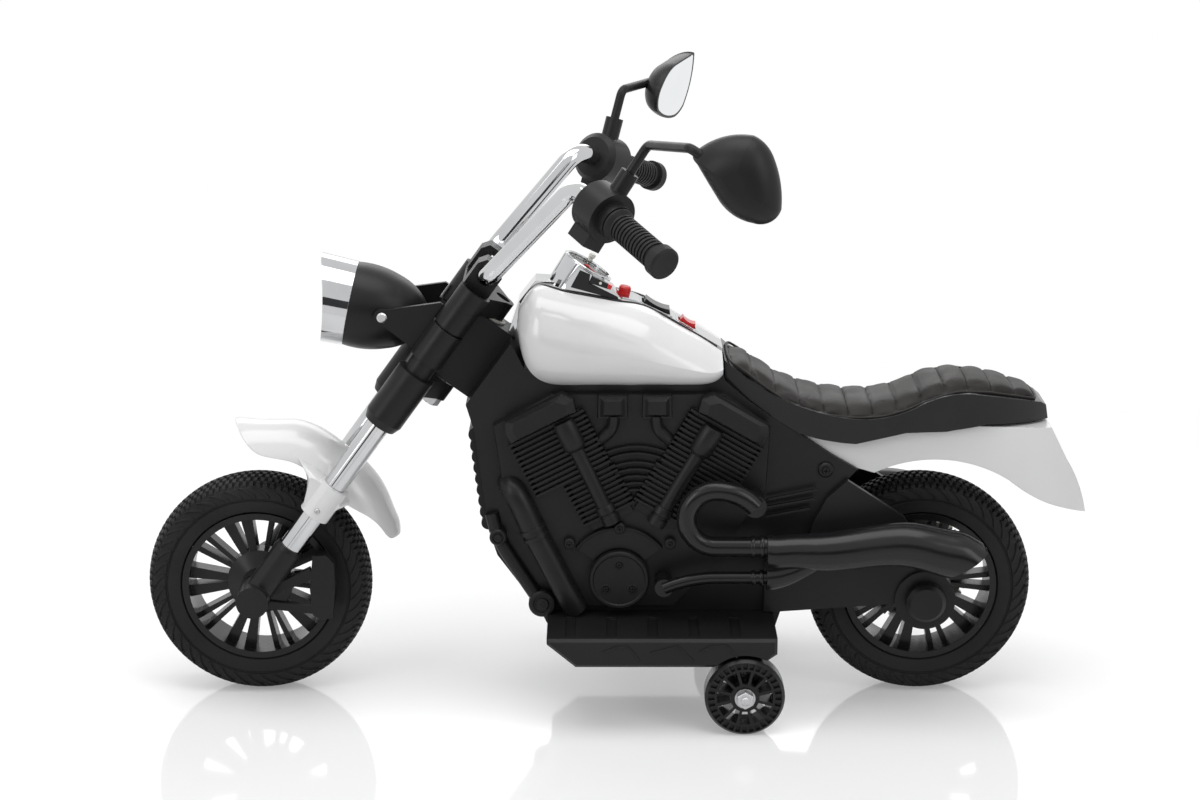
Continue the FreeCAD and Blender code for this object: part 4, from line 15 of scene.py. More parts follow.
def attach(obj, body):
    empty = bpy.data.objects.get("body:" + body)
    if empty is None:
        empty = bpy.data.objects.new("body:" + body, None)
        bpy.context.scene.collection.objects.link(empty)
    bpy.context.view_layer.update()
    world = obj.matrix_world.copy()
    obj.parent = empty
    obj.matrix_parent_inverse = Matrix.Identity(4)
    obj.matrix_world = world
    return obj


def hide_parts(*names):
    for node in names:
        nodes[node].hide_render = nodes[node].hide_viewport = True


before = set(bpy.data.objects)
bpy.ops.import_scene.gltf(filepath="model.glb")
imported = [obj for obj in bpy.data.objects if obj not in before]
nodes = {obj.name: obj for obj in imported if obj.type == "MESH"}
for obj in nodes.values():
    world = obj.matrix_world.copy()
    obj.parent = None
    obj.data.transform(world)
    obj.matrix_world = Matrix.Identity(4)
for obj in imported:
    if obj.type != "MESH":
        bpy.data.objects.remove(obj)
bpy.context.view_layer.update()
scene = bpy.context.scene
MM = 0.001

# %% [markdown]
# ## Camera
# The photograph looks at the left side of the bike from a little above. Its lens and height were worked
# out from the wheel contacts and the length of the bike, so the camera is simply set down there, with no
# shift and no depth of field, and every other view stays sharp.

# %% Camera
camera_data = bpy.data.cameras.new("photo_camera")
camera_data.sensor_width = 36
camera_data.lens = 77.4
camera = bpy.data.objects.new("photo_camera", camera_data)
camera.location = (0.0144, 2.4756, 0.9726)
camera.rotation_euler = (math.radians(74.8), 0, math.radians(180))
scene.collection.objects.link(camera)
scene.camera = camera
scene.view_settings.view_transform = "Standard"
print("camera at", tuple(round(value, 3) for value in camera.location))

# %% [markdown]
# ## Studio
# The bike stands on a pale, slightly polished floor in a white room. The world is white for rays that come
# from the camera, a mirror or glass, and softer for the light that it throws, so the lamps still model the
# forms. The floor is a plain disc with some gloss, which keeps the shadow and a reflection, and it fades out
# into the white room well behind the bike, so no horizon shows.


# %% Helpers for node trees
def set_inputs(item, values):
    """Set a node's inputs to plain values, or link them to a socket or to a node's first output."""
    for name, value in values.items():
        source = value.outputs[0] if isinstance(value, bpy.types.Node) else value
        if isinstance(source, bpy.types.NodeSocket):
            item.id_data.links.new(source, item.inputs[name])
        else:
            item.inputs[name].default_value = value
    return item


def new_node(tree, kind, values=(), **settings):
    item = tree.nodes.new(kind)
    for name, value in settings.items():
        setattr(item, name, value)
    return set_inputs(item, dict(values))


def shader_node(tree, kind, values=(), **settings):
    return new_node(tree, "ShaderNode" + kind, values, **settings)


def geometry_node(tree, kind, values=(), **settings):
    return new_node(tree, "GeometryNode" + kind, values, **settings)


def new_finish(name):
    """A new material, its tree, its shader and its object coordinates."""
    finish = bpy.data.materials.new(name)
    finish.use_nodes = True
    tree = finish.node_tree
    return finish, tree, tree.nodes["Principled BSDF"], shader_node(tree, "TexCoord").outputs["Object"]


def seen_ray(tree):
    """One for rays from the camera, a mirror or glass, and zero for the rest."""
    rays = shader_node(tree, "LightPath").outputs
    seen = rays["Is Camera Ray"]
    for kind in ("Is Glossy Ray", "Is Transmission Ray"):
        seen = shader_node(tree, "Math", {0: seen, 1: rays[kind]}, operation="MAXIMUM")
    return seen


print("node helpers ready")

# %% World and floor
ROOM_LIGHT = 0.42
FLOOR_RADIUS = 1.3
FLOOR_GLOW = 0.25
FADE_START, FADE_STOP = 0.68, 1.25
WHITE = (1, 1, 1, 1)
world = bpy.data.worlds.new("white_room")
world.use_nodes = True
scene.world = world
tree = world.node_tree
level = shader_node(tree, "MapRange", {"Value": seen_ray(tree), "To Min": ROOM_LIGHT, "To Max": 1.0})
set_inputs(tree.nodes["Background"], {"Color": WHITE, "Strength": level})

floor_finish, tree, shader, place = new_finish("pale_floor")
glow = shader_node(tree, "MapRange", {"Value": seen_ray(tree), "To Max": FLOOR_GLOW})
set_inputs(shader, {"Base Color": (0.8, 0.8, 0.805, 1), "Roughness": 0.07, "Emission Color": WHITE,
                    "Emission Strength": glow})
reach = shader_node(tree, "VectorMath", {0: place}, operation="LENGTH")
fade = shader_node(tree, "MapRange", {"Value": reach.outputs["Value"], "From Min": FADE_START,
                                      "From Max": FADE_STOP}, interpolation_type="SMOOTHSTEP")
blend = shader_node(tree, "MixShader", {0: fade, 1: shader, 2: shader_node(tree, "BsdfTransparent")})
set_inputs(tree.nodes["Material Output"], {"Surface": blend})

floor_mesh = bpy.data.meshes.new("floor")
work = bmesh.new()
bmesh.ops.create_circle(work, cap_ends=True, segments=96, radius=FLOOR_RADIUS)
work.to_mesh(floor_mesh)
work.free()
floor_mesh.materials.append(floor_finish)
floor = bpy.data.objects.new("floor", floor_mesh)
scene.collection.objects.link(floor)
print("floor and world set")


# %% Lamps
BIKE_MIDDLE = Vector((0, 0, 0.25))


def soft_lamp(name, place, size, power):
    data = bpy.data.lights.new(name, "AREA")
    data.shape = "RECTANGLE"
    data.size, data.size_y = size
    data.energy = power
    lamp = bpy.data.objects.new(name, data)
    lamp.location = place
    lamp.rotation_euler = (BIKE_MIDDLE - Vector(place)).to_track_quat("-Z", "Y").to_euler()
    lamp.visible_camera = False
    scene.collection.objects.link(lamp)


soft_lamp("overhead", (0.1, 0.3, 2.6), (2.6, 1.6), 34)
soft_lamp("front_side", (1.9, 1.7, 1.5), (0.9, 1.6), 13)
soft_lamp("rear_side", (-1.9, 1.7, 1.7), (0.9, 1.6), 12)
soft_lamp("behind", (0.0, -2.2, 1.6), (2.2, 1.2), 14)
print("four soft lamps set")

# %% [markdown]
# ### Dark screen
# Chrome shows only what stands around it. A studio is dark behind the camera, which draws the dark streaks
# along plated tubes, so one long dark screen stands far out on that side. Only mirrored rays see it: it
# throws no shadow, and no camera sees it.

# %% Screen
SCREEN_Y, SCREEN_HALF, SCREEN_LOW, SCREEN_HIGH = 3.4, 2.6, 0.1, 1.3
screen_finish, tree, shader, place = new_finish("near_screen")
shader.inputs["Base Color"].default_value = (0.03, 0.03, 0.032, 1)
screen_mesh = bpy.data.meshes.new("near_screen")
screen_ends = ((-SCREEN_HALF, SCREEN_LOW), (SCREEN_HALF, SCREEN_LOW), (SCREEN_HALF, SCREEN_HIGH),
               (-SCREEN_HALF, SCREEN_HIGH))
screen_mesh.from_pydata([(x, SCREEN_Y, z) for x, z in screen_ends], [], [(0, 1, 2, 3)])
screen_mesh.materials.append(screen_finish)
screen = bpy.data.objects.new("near_screen", screen_mesh)
for kind in ("camera", "diffuse", "transmission", "volume_scatter", "shadow"):
    setattr(screen, "visible_" + kind, False)
scene.collection.objects.link(screen)
print("dark screen set")

# %% [markdown]
# ## Finishes
# The bike is moulded plastic with a few plated tubes. Each finish starts from the same plan: a slow noise
# tints the colour and the gloss, so no surface is one flat tone, a fine noise gives the mould's grain as a
# bump, and a small bevel in the shader rounds the edges that catch the light. Object coordinates keep all
# of it fixed to the piece.


# %% The plan that finishes share
NOISE_RANGE = (0.3, 0.7)


def clouds(tree, place, scale, detail=3.0):
    return shader_node(tree, "TexNoise", {"Vector": place, "Scale": scale, "Detail": detail}).outputs["Fac"]


def tint(tree, shader, factor, dark, light):
    ramp = shader_node(tree, "ValToRGB", {"Fac": factor})
    for stop, at, colour in zip(ramp.color_ramp.elements, NOISE_RANGE, (dark, light)):
        stop.position = at
        stop.color = (*colour, 1)
    set_inputs(shader, {"Base Color": ramp})


def vary_gloss(tree, shader, factor, low, high):
    first, last = NOISE_RANGE
    spread = shader_node(tree, "MapRange", {"Value": factor, "From Min": first, "From Max": last,
                                            "To Min": low, "To Max": high})
    set_inputs(shader, {"Roughness": spread})


def relief(tree, shader, height, depth, edge=0.0):
    """A bump of a depth in millimetres, on edges rounded by a radius in millimetres."""
    bump = shader_node(tree, "Bump", {"Strength": 1.0, "Distance": depth * MM, "Height": height})
    if edge:
        set_inputs(bump, {"Normal": shader_node(tree, "Bevel", {"Radius": edge * MM}, samples=4)})
    set_inputs(shader, {"Normal": bump})


def moulded(name, dark, light, gloss, grain, edge, coat=0.0, shine=0.3):
    """Moulded plastic: two close tints, a range of gloss, and a grain of a scale and a depth."""
    finish, tree, shader, place = new_finish(name)
    tint(tree, shader, clouds(tree, place, 9), dark, light)
    vary_gloss(tree, shader, clouds(tree, place, 23), *gloss)
    relief(tree, shader, clouds(tree, place, grain[0], 2.0), grain[1], edge)
    set_inputs(shader, {"Specular IOR Level": shine, "Coat Weight": coat, "Coat Roughness": 0.06})
    return finish


print("finish helpers ready")

# %% [markdown]
# ### Moulded plastics
# The frame, fork and engine are satin black with a fine spark texture from the mould. The wheels, exhausts
# and seat base come from polished moulds, so they get a tighter gloss and hardly any grain. The white
# panels are the brightest, smoothest mouldings, and a thin clear coat gives them their crisp highlights.

# %% Plastics
satin_black = moulded("satin_black", (0.009, 0.009, 0.0095), (0.014, 0.014, 0.0145), (0.34, 0.44),
                      (1500, 0.05), 0.9, shine=0.22)
polished_black = moulded("polished_black", (0.007, 0.007, 0.008), (0.012, 0.012, 0.013), (0.17, 0.27),
                         (500, 0.02), 0.8)
wheel_black = moulded("wheel_black", (0.007, 0.007, 0.007), (0.012, 0.012, 0.012), (0.2, 0.3), (700, 0.02),
                      0.7, shine=0.25)
panel_white = moulded("panel_white", (0.775, 0.775, 0.78), (0.80, 0.80, 0.805), (0.14, 0.22), (260, 0.015),
                      1.2, 0.3, 0.5)
signal_red = moulded("signal_red", (0.50, 0.012, 0.014), (0.62, 0.02, 0.02), (0.2, 0.3), (800, 0.02),
                     0.5, 0.2)
case_grey = moulded("case_grey", (0.10, 0.10, 0.11), (0.14, 0.14, 0.15), (0.4, 0.55), (900, 0.05), 0.5)
circuit_green = moulded("circuit_green", (0.012, 0.09, 0.03), (0.02, 0.13, 0.045), (0.3, 0.45), (900, 0.03),
                        0.4)
gear_white = moulded("gear_white", (0.68, 0.67, 0.62), (0.76, 0.75, 0.70), (0.35, 0.5), (900, 0.03), 0.4)
print("plastics made")

# %% [markdown]
# ### Metals
# The plated tubes, the lamp rim and the console are bright chrome on plastic or steel: a full mirror with
# faint polishing marks. The fasteners are zinc plated, greyer and a little rougher. The mirror glass is
# the clearest reflection of all.


# %% Metals
def plated(name, dark, light, gloss, grain, edge):
    finish, tree, shader, place = new_finish(name)
    shader.inputs["Metallic"].default_value = 1.0
    tint(tree, shader, clouds(tree, place, 16), dark, light)
    vary_gloss(tree, shader, clouds(tree, place, 60), *gloss)
    relief(tree, shader, clouds(tree, place, grain[0], 2.0), grain[1], edge)
    return finish


chrome = plated("bright_chrome", (0.50, 0.505, 0.515), (0.60, 0.605, 0.61), (0.03, 0.07), (120, 0.02), 0.6)
zinc = plated("zinc_steel", (0.46, 0.46, 0.47), (0.58, 0.58, 0.59), (0.22, 0.36), (900, 0.02), 0.4)
mirror_glass = plated("mirror_glass", (0.80, 0.82, 0.83), (0.84, 0.85, 0.86), (0.01, 0.03), (40, 0.002), 0.3)
print("metals made")

# %% [markdown]
# ### Rubber, leather cloth and clear plastic
# The tyres are a dull foam rubber and the grips a finer one, both told by their bump. The seat cover is
# leather cloth: small closed cells, for which a cell pattern is closer than noise. The lamp lens is clear,
# and only its gloss and a faint wave in it vary.

# %% Rubber and clear plastic
tyre_rubber = moulded("tyre_rubber", (0.010, 0.010, 0.010), (0.018, 0.018, 0.018), (0.5, 0.66), (420, 0.12),
                      0.6, shine=0.2)
grip_rubber = moulded("grip_rubber", (0.012, 0.012, 0.013), (0.020, 0.020, 0.021), (0.46, 0.6), (1200, 0.07),
                      0.5, shine=0.22)

clear_lens, tree, shader, place = new_finish("clear_lens")
set_inputs(shader, {"Base Color": (0.97, 0.98, 0.98, 1), "Transmission Weight": 1.0, "IOR": 1.49})
vary_gloss(tree, shader, clouds(tree, place, 30), 0.01, 0.05)
relief(tree, shader, clouds(tree, place, 50), 0.03)
print("rubber and lens made")


# %% Leather cloth
def leather(name, dark, light):
    finish, tree, shader, place = new_finish(name)
    tint(tree, shader, clouds(tree, place, 45, 4.0), dark, light)
    vary_gloss(tree, shader, clouds(tree, place, 30), 0.44, 0.58)
    cells = shader_node(tree, "TexVoronoi", {"Vector": place, "Scale": 620})
    relief(tree, shader, cells.outputs["Distance"], 0.16)
    set_inputs(shader, {"Specular IOR Level": 0.16, "Sheen Weight": 0.06, "Sheen Roughness": 0.5})
    return finish


seat_leather = leather("seat_leather", (0.016, 0.0148, 0.0138), (0.025, 0.0232, 0.0218))
stitch_thread = leather("stitch_thread", (0.010, 0.010, 0.010), (0.020, 0.020, 0.020))
print("leather made")

# %% [markdown]
# ### The dial
# The gauge is a printed disc under a clear cover. Its rings are a ramp on the distance from the middle of
# the dial, for which a Mapping node moves the pattern there and leans it as the pod leans.

# %% Dial finish
POD_TILT = math.radians(31.5)
pod_face = Vector((26, 0, 437)) * MM
pod_way = Vector((-math.sin(POD_TILT), 0, math.cos(POD_TILT)))
DIAL_RADIUS = 22.5
DIAL_SINK = 1.5
dial_top = pod_face - pod_way * DIAL_SINK * MM
dial_print, tree, shader, place = new_finish("dial_print")
centred = shader_node(tree, "Mapping", {"Vector": place, "Location": dial_top, "Rotation": (0, -POD_TILT, 0)},
                      vector_type="TEXTURE")
reach = shader_node(tree, "VectorMath", {0: centred}, operation="LENGTH")
share = shader_node(tree, "MapRange", {"Value": reach.outputs["Value"], "From Max": DIAL_RADIUS * MM})
rings = shader_node(tree, "ValToRGB", {"Fac": share})
rings.color_ramp.interpolation = "CONSTANT"
inner, outer = rings.color_ramp.elements
inner.color = (0.03, 0.03, 0.032, 1)
outer.position = 0.62
outer.color = (0.012, 0.012, 0.013, 1)
for at, tone in ((0.93, 0.55), (0.97, 0.02)):
    rings.color_ramp.elements.new(at).color = (tone, tone, tone, 1)
set_inputs(shader, {"Base Color": rings})
vary_gloss(tree, shader, clouds(tree, place, 40), 0.12, 0.2)
relief(tree, shader, clouds(tree, place, 900), 0.01)
print("dial made")

# %% [markdown]
# ## Finishes on the CAD nodes
# Most solids have the right shape already and only need their finish. The list below says which node
# is moulded in what, and a node's material slot is simply filled with the new finish.

# %% Dress the nodes
dressed = {
    satin_black: ("fork_legs fork_shrouds lower_yoke upper_yoke headlight_shell headlight_bracket "
                  "switch_housings mirror_arm_left mirror_arm_right mirror_shell_left mirror_shell_right "
                  "body_shell_left body_shell_right engine_covers swingarms rear_axle footboard_left "
                  "footboard_right"),
    polished_black: "exhausts gear_motor direction_rocker seat_base speaker wiring_loom charging_socket",
    wheel_black: "front_wheel rear_wheel stabiliser_wheel_left stabiliser_wheel_right",
    panel_white: "front_fender rear_fender tank_panel_left tank_panel_right",
    chrome: "fork_tubes headlight_rim handlebar dash_console",
    zinc: "front_axle steering_stem body_screws stabiliser_bracket stabiliser_bolts fork_screws",
    tyre_rubber: "front_tyre rear_tyre",
    grip_rubber: "grips accelerator_pedal",
    clear_lens: "headlight_lens",
    dial_print: "gauge_lens",
    mirror_glass: "mirror_glass_left mirror_glass_right",
    seat_leather: "seat_pad",
    signal_red: "power_rocker horn_button",
    case_grey: "battery",
    circuit_green: "control_board",
    gear_white: "head_bushes drive_gear motor_pinion",
}
for finish, names in dressed.items():
    for name in names.split():
        mesh = nodes[name].data
        mesh.materials.clear()
        mesh.materials.append(finish)
print("dressed", sum(len(names.split()) for names in dressed.values()), "of", len(nodes), "nodes")

# %% [markdown]
# ## Tools for making pieces
# A few small tools make most of what follows: a skin over a row of loops, a turned shape from a profile, a
# slab with a sloped edge from an outline, a tube along a few points, and a mirrored copy for the other side
# of the bike. A finished piece sits at the origin with its place in its mesh, rides on a body, and takes a
# finish and a slot.


# %% Mesh tools
ACROSS = Vector((0, 1, 0))
DOWN = Vector((0, 0, -1))
MERGE_DISTANCE = 0.01 * MM
CORNER_DRAW = 1.41


def mm(x, y, z):
    return Vector((x, y, z)) * MM


def closed_mesh(name, work):
    bmesh.ops.remove_doubles(work, verts=work.verts, dist=MERGE_DISTANCE)
    bmesh.ops.recalc_face_normals(work, faces=work.faces)
    mesh = bpy.data.meshes.new(name)
    work.to_mesh(mesh)
    work.free()
    return mesh


def add_skin(work, loops):
    """Join loops of equal length one after another, and close both ends."""
    count = len(loops[0])
    for low, high in zip(loops, loops[1:]):
        for step in range(count):
            following = (step + 1) % count
            work.faces.new((low[step], low[following], high[following], high[step]))
    work.faces.new(loops[0])
    work.faces.new(list(reversed(loops[-1])))
    return work


def add_turned(work, profile, centre, axis, count=40, ring=False):
    """Turn (radius, along) pairs in millimetres about an axis; a ring joins its last pair to its first."""
    frame_turn = axis.normalized().to_track_quat("Z", "X").to_matrix()
    loops = []
    for radius, along in profile:
        spots = count if radius > 0 else 1
        loops.append([
            work.verts.new(centre + frame_turn @ mm(radius * math.cos(turn), radius * math.sin(turn), along))
            for turn in (math.tau * step / spots for step in range(spots))
        ])
    pairs = list(zip(loops, loops[1:])) + ([(loops[-1], loops[0])] if ring else [])
    for low, high in pairs:
        for step in range(count):
            corners = [low[step % len(low)], low[(step + 1) % len(low)],
                       high[(step + 1) % len(high)], high[step % len(high)]]
            corners = list(dict.fromkeys(corners))
            if len(corners) > 2:
                work.faces.new(corners)
    return work


def add_slab(work, outline, low, high, slope=0.0):
    """A slab between two distances across the bike, its outer face drawn in by a slope."""
    middle_x = sum(x for x, z in outline) / len(outline)
    middle_z = sum(z for x, z in outline) / len(outline)
    base = [work.verts.new(mm(x, low, z)) for x, z in outline]
    top = []
    for x, z in outline:
        out = Vector((x - middle_x, z - middle_z))
        drawn = out * max(0.0, 1 - slope * CORNER_DRAW / out.length) if slope else out
        top.append(work.verts.new(mm(middle_x + drawn.x, high, middle_z + drawn.y)))
    return add_skin(work, [base, top])


def both_sides(work):
    copied = bmesh.ops.duplicate(work, geom=work.verts[:] + work.edges[:] + work.faces[:])["geom"]
    for item in copied:
        if isinstance(item, bmesh.types.BMVert):
            item.co.y = -item.co.y
    return work


print("mesh tools ready")


# %% Tubes and finished pieces
def plain_mesh(holder):
    """The evaluated shape of a working object as a plain mesh; the working object is removed."""
    depsgraph = bpy.context.evaluated_depsgraph_get()
    mesh = bpy.data.meshes.new_from_object(holder.evaluated_get(depsgraph))
    bpy.data.objects.remove(holder)
    return mesh


def tube(name, points, radius, closed=False, rounds=4):
    """A smooth tube along points in millimetres."""
    curve = bpy.data.curves.new(name, "CURVE")
    curve.dimensions = "3D"
    curve.bevel_depth = radius * MM
    curve.bevel_resolution = rounds
    curve.use_fill_caps = not closed
    spline = curve.splines.new("NURBS")
    spline.points.add(len(points) - 1)
    for spot, (x, y, z) in zip(spline.points, points):
        spot.co = (x * MM, y * MM, z * MM, 1)
    spline.use_cyclic_u = closed
    spline.order_u = 3
    spline.use_endpoint_u = not closed
    spline.resolution_u = 6
    holder = bpy.data.objects.new(name, curve)
    scene.collection.objects.link(holder)
    return plain_mesh(holder)


def pour(work, mesh):
    """Add a mesh to a working one."""
    work.from_mesh(mesh)
    bpy.data.meshes.remove(mesh)
    return work


def set_piece(name, mesh, finish, body, replaced=(), crease=32):
    mesh.materials.clear()
    mesh.materials.append(finish)
    mesh.polygons.foreach_set("use_smooth", [True] * len(mesh.polygons))
    mesh.polygons.foreach_set("material_index", [0] * len(mesh.polygons))
    mesh.set_sharp_from_angle(angle=math.radians(crease))
    piece = bpy.data.objects.new(name, mesh)
    scene.collection.objects.link(piece)
    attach(piece, body)
    if replaced:
        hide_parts(*replaced)
    print(name, len(mesh.polygons), "faces on", body)
    return piece


def set_work(name, work, finish, body, replaced=(), crease=32):
    return set_piece(name, closed_mesh(name, work), finish, body, replaced, crease)


print("piece tools ready")

# %% [markdown]
# ## Geometry Nodes for what repeats
# Tread knobs, screws, dial ticks, stitches and fins repeat a small shape by a rule, so each rule is one node
# tree: around an axle, on marked points, along a path, or in a line. The trees have named inputs, and they
# end by realizing their instances and setting the finish, because a plain mesh is what the piece needs.


# %% Tree tools
def new_tree(name, inputs):
    tree = bpy.data.node_groups.new(name, "GeometryNodeTree")
    tree.is_modifier = True
    tree.interface.new_socket("Geometry", in_out="INPUT", socket_type="NodeSocketGeometry")
    for label, kind in inputs:
        tree.interface.new_socket(label, in_out="INPUT", socket_type="NodeSocket" + kind)
    tree.interface.new_socket("Geometry", in_out="OUTPUT", socket_type="NodeSocketGeometry")
    return tree, tree.nodes.new("NodeGroupInput").outputs


def finish_tree(tree, inputs, instances):
    """Realize the instances, set the finish and join the group's output."""
    real = geometry_node(tree, "RealizeInstances", {"Geometry": instances})
    coat = geometry_node(tree, "SetMaterial", {"Geometry": real, "Material": inputs["Finish"]})
    new_node(tree, "NodeGroupOutput", {0: coat})
    print("tree", tree.name, "made")
    return tree


def grown(name, mesh, tree, values):
    """Run a tree on a mesh with its inputs set by identifier, and return the plain result."""
    holder = bpy.data.objects.new(name, mesh)
    scene.collection.objects.link(holder)
    modifier = holder.modifiers.new(name, "NODES")
    modifier.node_group = tree
    for item in tree.interface.items_tree:
        if item.item_type == "SOCKET" and item.in_out == "INPUT" and item.name in values:
            modifier[item.identifier] = values[item.name]
    return plain_mesh(holder)


print("tree tools ready")

# %% Around an axle
tree, inputs = new_tree("around_axle", [("Count", "Int"), ("Centre", "Vector"), ("Axle", "Vector"),
                                        ("Finish", "Material")])
spots = geometry_node(tree, "Points", {"Count": inputs["Count"], "Position": inputs["Centre"]})
index = geometry_node(tree, "InputIndex")
part = shader_node(tree, "Math", {0: index, 1: inputs["Count"]}, operation="DIVIDE")
angle = shader_node(tree, "Math", {0: part, 1: math.tau}, operation="MULTIPLY")
turn = new_node(tree, "FunctionNodeAxisAngleToRotation", {"Axis": inputs["Axle"], "Angle": angle})
copies = geometry_node(tree, "InstanceOnPoints",
                       {"Points": spots, "Instance": inputs["Geometry"], "Rotation": turn})
around_axle = finish_tree(tree, inputs, copies)

# %% Screws on marked points
HEAD_TAPER = 0.74
tree, inputs = new_tree("screw_set", [("Head Radius", "Float"), ("Head Height", "Float"),
                                      ("Slot Width", "Float"), ("Finish", "Material")])
head_radius, head_height, width = (inputs[name] for name in ("Head Radius", "Head Height", "Slot Width"))
top = shader_node(tree, "Math", {0: head_radius, 1: HEAD_TAPER}, operation="MULTIPLY")
carved = geometry_node(tree, "MeshCone", {"Vertices": 20, "Radius Top": top, "Radius Bottom": head_radius,
                                          "Depth": head_height})
for x_size, y_size in ((head_radius, width), (width, head_radius)):
    size = shader_node(tree, "CombineXYZ", {"X": x_size, "Y": y_size, "Z": head_height})
    lift = shader_node(tree, "CombineXYZ", {"Z": head_height})
    bar = geometry_node(tree, "MeshCube", {"Size": size})
    raised = geometry_node(tree, "Transform", {"Geometry": bar, "Translation": lift})
    carved = geometry_node(tree, "MeshBoolean", {"Mesh 1": carved, "Mesh 2": raised}, operation="DIFFERENCE")
facing = geometry_node(tree, "InputNamedAttribute", {"Name": "facing"}, data_type="FLOAT_VECTOR")
aim = new_node(tree, "FunctionNodeAlignRotationToVector", {"Vector": facing.outputs["Attribute"]}, axis="Z")
copies = geometry_node(tree, "InstanceOnPoints",
                       {"Points": inputs["Geometry"], "Instance": carved, "Rotation": aim})
screw_set = finish_tree(tree, inputs, copies)

# %% Stitches along a path
tree, inputs = new_tree("stitch_row", [("Pitch", "Float"), ("Length", "Float"), ("Thread", "Float"),
                                       ("Finish", "Material")])
path = geometry_node(tree, "MeshToCurve", {"Mesh": inputs["Geometry"]})
even = geometry_node(tree, "ResampleCurve", {"Curve": path, "Length": inputs["Pitch"]}, mode="LENGTH")
bead = geometry_node(tree, "MeshUVSphere", {"Segments": 6, "Rings": 5})
size = shader_node(tree, "CombineXYZ", {"X": inputs["Length"], "Y": inputs["Thread"], "Z": inputs["Thread"]})
shaped = geometry_node(tree, "Transform", {"Geometry": bead, "Scale": size})
along = geometry_node(tree, "InputTangent")
aim = new_node(tree, "FunctionNodeAlignRotationToVector", {"Vector": along}, axis="X")
copies = geometry_node(tree, "InstanceOnPoints", {"Points": even, "Instance": shaped, "Rotation": aim})
stitch_row = finish_tree(tree, inputs, copies)

# %% In a line
tree, inputs = new_tree("in_line", [("Count", "Int"), ("Step", "Vector"), ("Finish", "Material")])
row = geometry_node(tree, "MeshLine", {"Count": inputs["Count"], "Offset": inputs["Step"]}, mode="OFFSET")
copies = geometry_node(tree, "InstanceOnPoints", {"Points": row, "Instance": inputs["Geometry"]})
in_line = finish_tree(tree, inputs, copies)

# %% [markdown]
# ## Tyres
# The real tyre is one moulding: a flat sidewall, a step, a shoulder with curved slashes, and a crown full of
# small knobs. The carcass is a turned section. One step of the tread, seven knobs across, and one slash per
# side are modelled at the top of the wheel, and the tree around_axle repeats them round the axle.

# %% Tread parts
CROWN_BALL = 57.2
TYRE_RADIUS = 112.5
KNOB_HEIGHT = 2.6
KNOB_COUNT = 96
SLASH_COUNT = 44
SLASH_START, SLASH_REACH = 94.2, 11
SLASH_SWEEP = 0.16
SLASH_HALF = 2.3
# radius and half width of the sidewall, from the bead out to the crown
side_profile = [(77, 21.5), (78.5, 24.2), (84, 26.2), (90.2, 27.1), (91, 25.9), (92.2, 25.9), (93, 27.5),
                (99, 27.3), (104, 25.3)]


def crown(across):
    return TYRE_RADIUS - CROWN_BALL + math.sqrt(CROWN_BALL ** 2 - across ** 2)


def side_width(radius):
    for (low, first), (high, last) in zip(side_profile, side_profile[1:]):
        if radius <= high:
            return first + (last - first) * (radius - low) / (high - low)
    return side_profile[-1][1]


def add_knob(work, across, turned):
    """A tapered knob on the crown, at a distance across the tyre and an angle round it."""
    top = crown(across) - 0.1
    lean = math.asin(across / CROWN_BALL)
    spin = Matrix.Rotation(turned, 3, "Y")
    loops = []
    # height, half length and half width of each loop
    for height, along, wide in ((-1.4, 2.5, 3.5), (KNOB_HEIGHT - 0.6, 2.1, 3.0), (KNOB_HEIGHT, 1.6, 2.5)):
        radial = top - KNOB_HEIGHT + height
        loop = []
        for u, v in ((-1, -1), (1, -1), (1, 1), (-1, 1)):
            local = Vector((u * along, across + v * wide, radial - v * wide * math.tan(lean)))
            loop.append(work.verts.new(spin @ local * MM))
        loops.append(loop)
    add_skin(work, loops)


def add_slash(work, side):
    """A curved, tapering ridge on the shoulder of one side."""
    steps = 6
    loops = []
    for step in range(steps + 1):
        share = step / steps
        radius = SLASH_START + SLASH_REACH * share
        turned = SLASH_SWEEP * share ** 1.6
        half = SLASH_HALF * math.sin(math.pi * (0.15 + 0.8 * share)) + 0.3
        loop = []
        for u, out in ((-half, -0.8), (half, -0.8), (half * 0.7, 1.7), (-half * 0.7, 1.7)):
            bend = turned + u / radius
            loop.append(work.verts.new(mm(radius * math.sin(bend), side * (side_width(radius) + out),
                                          radius * math.cos(bend))))
        loops.append(loop)
    add_skin(work, loops)


print("tread parts ready")


# %% Set both tyres
def tyre_mesh(name, centre):
    work = bmesh.new()
    half_pitch = math.pi / KNOB_COUNT
    for across, turned in ((0, 0), (-15, 0), (15, 0), (-7.6, half_pitch), (7.6, half_pitch),
                           (-21.6, half_pitch), (21.6, half_pitch)):
        add_knob(work, across, turned)
    rule = {"Count": KNOB_COUNT, "Centre": centre, "Axle": ACROSS, "Finish": tyre_rubber}
    knobs = grown("knobs", closed_mesh("knob_step", work), around_axle, rule)
    work = bmesh.new()
    for side in (1, -1):
        add_slash(work, side)
    slashes = grown("slashes", closed_mesh("slash_pair", work), around_axle, {**rule, "Count": SLASH_COUNT})
    outer = [(crown(across) - KNOB_HEIGHT, across) for across in (23, 18, 12, 6, 0, -6, -12, -18, -23)]
    inner = [(77, -17.5), (88, -21), (97, -21.5), (103, -15), (105, 0), (103, 15), (97, 21.5), (88, 21),
             (77, 17.5)]
    section = side_profile + outer + [(radius, -wide) for radius, wide in reversed(side_profile)] + inner
    work = add_turned(bmesh.new(), section, centre, ACROSS, 144, ring=True)
    return closed_mesh(name, pour(pour(work, knobs), slashes))


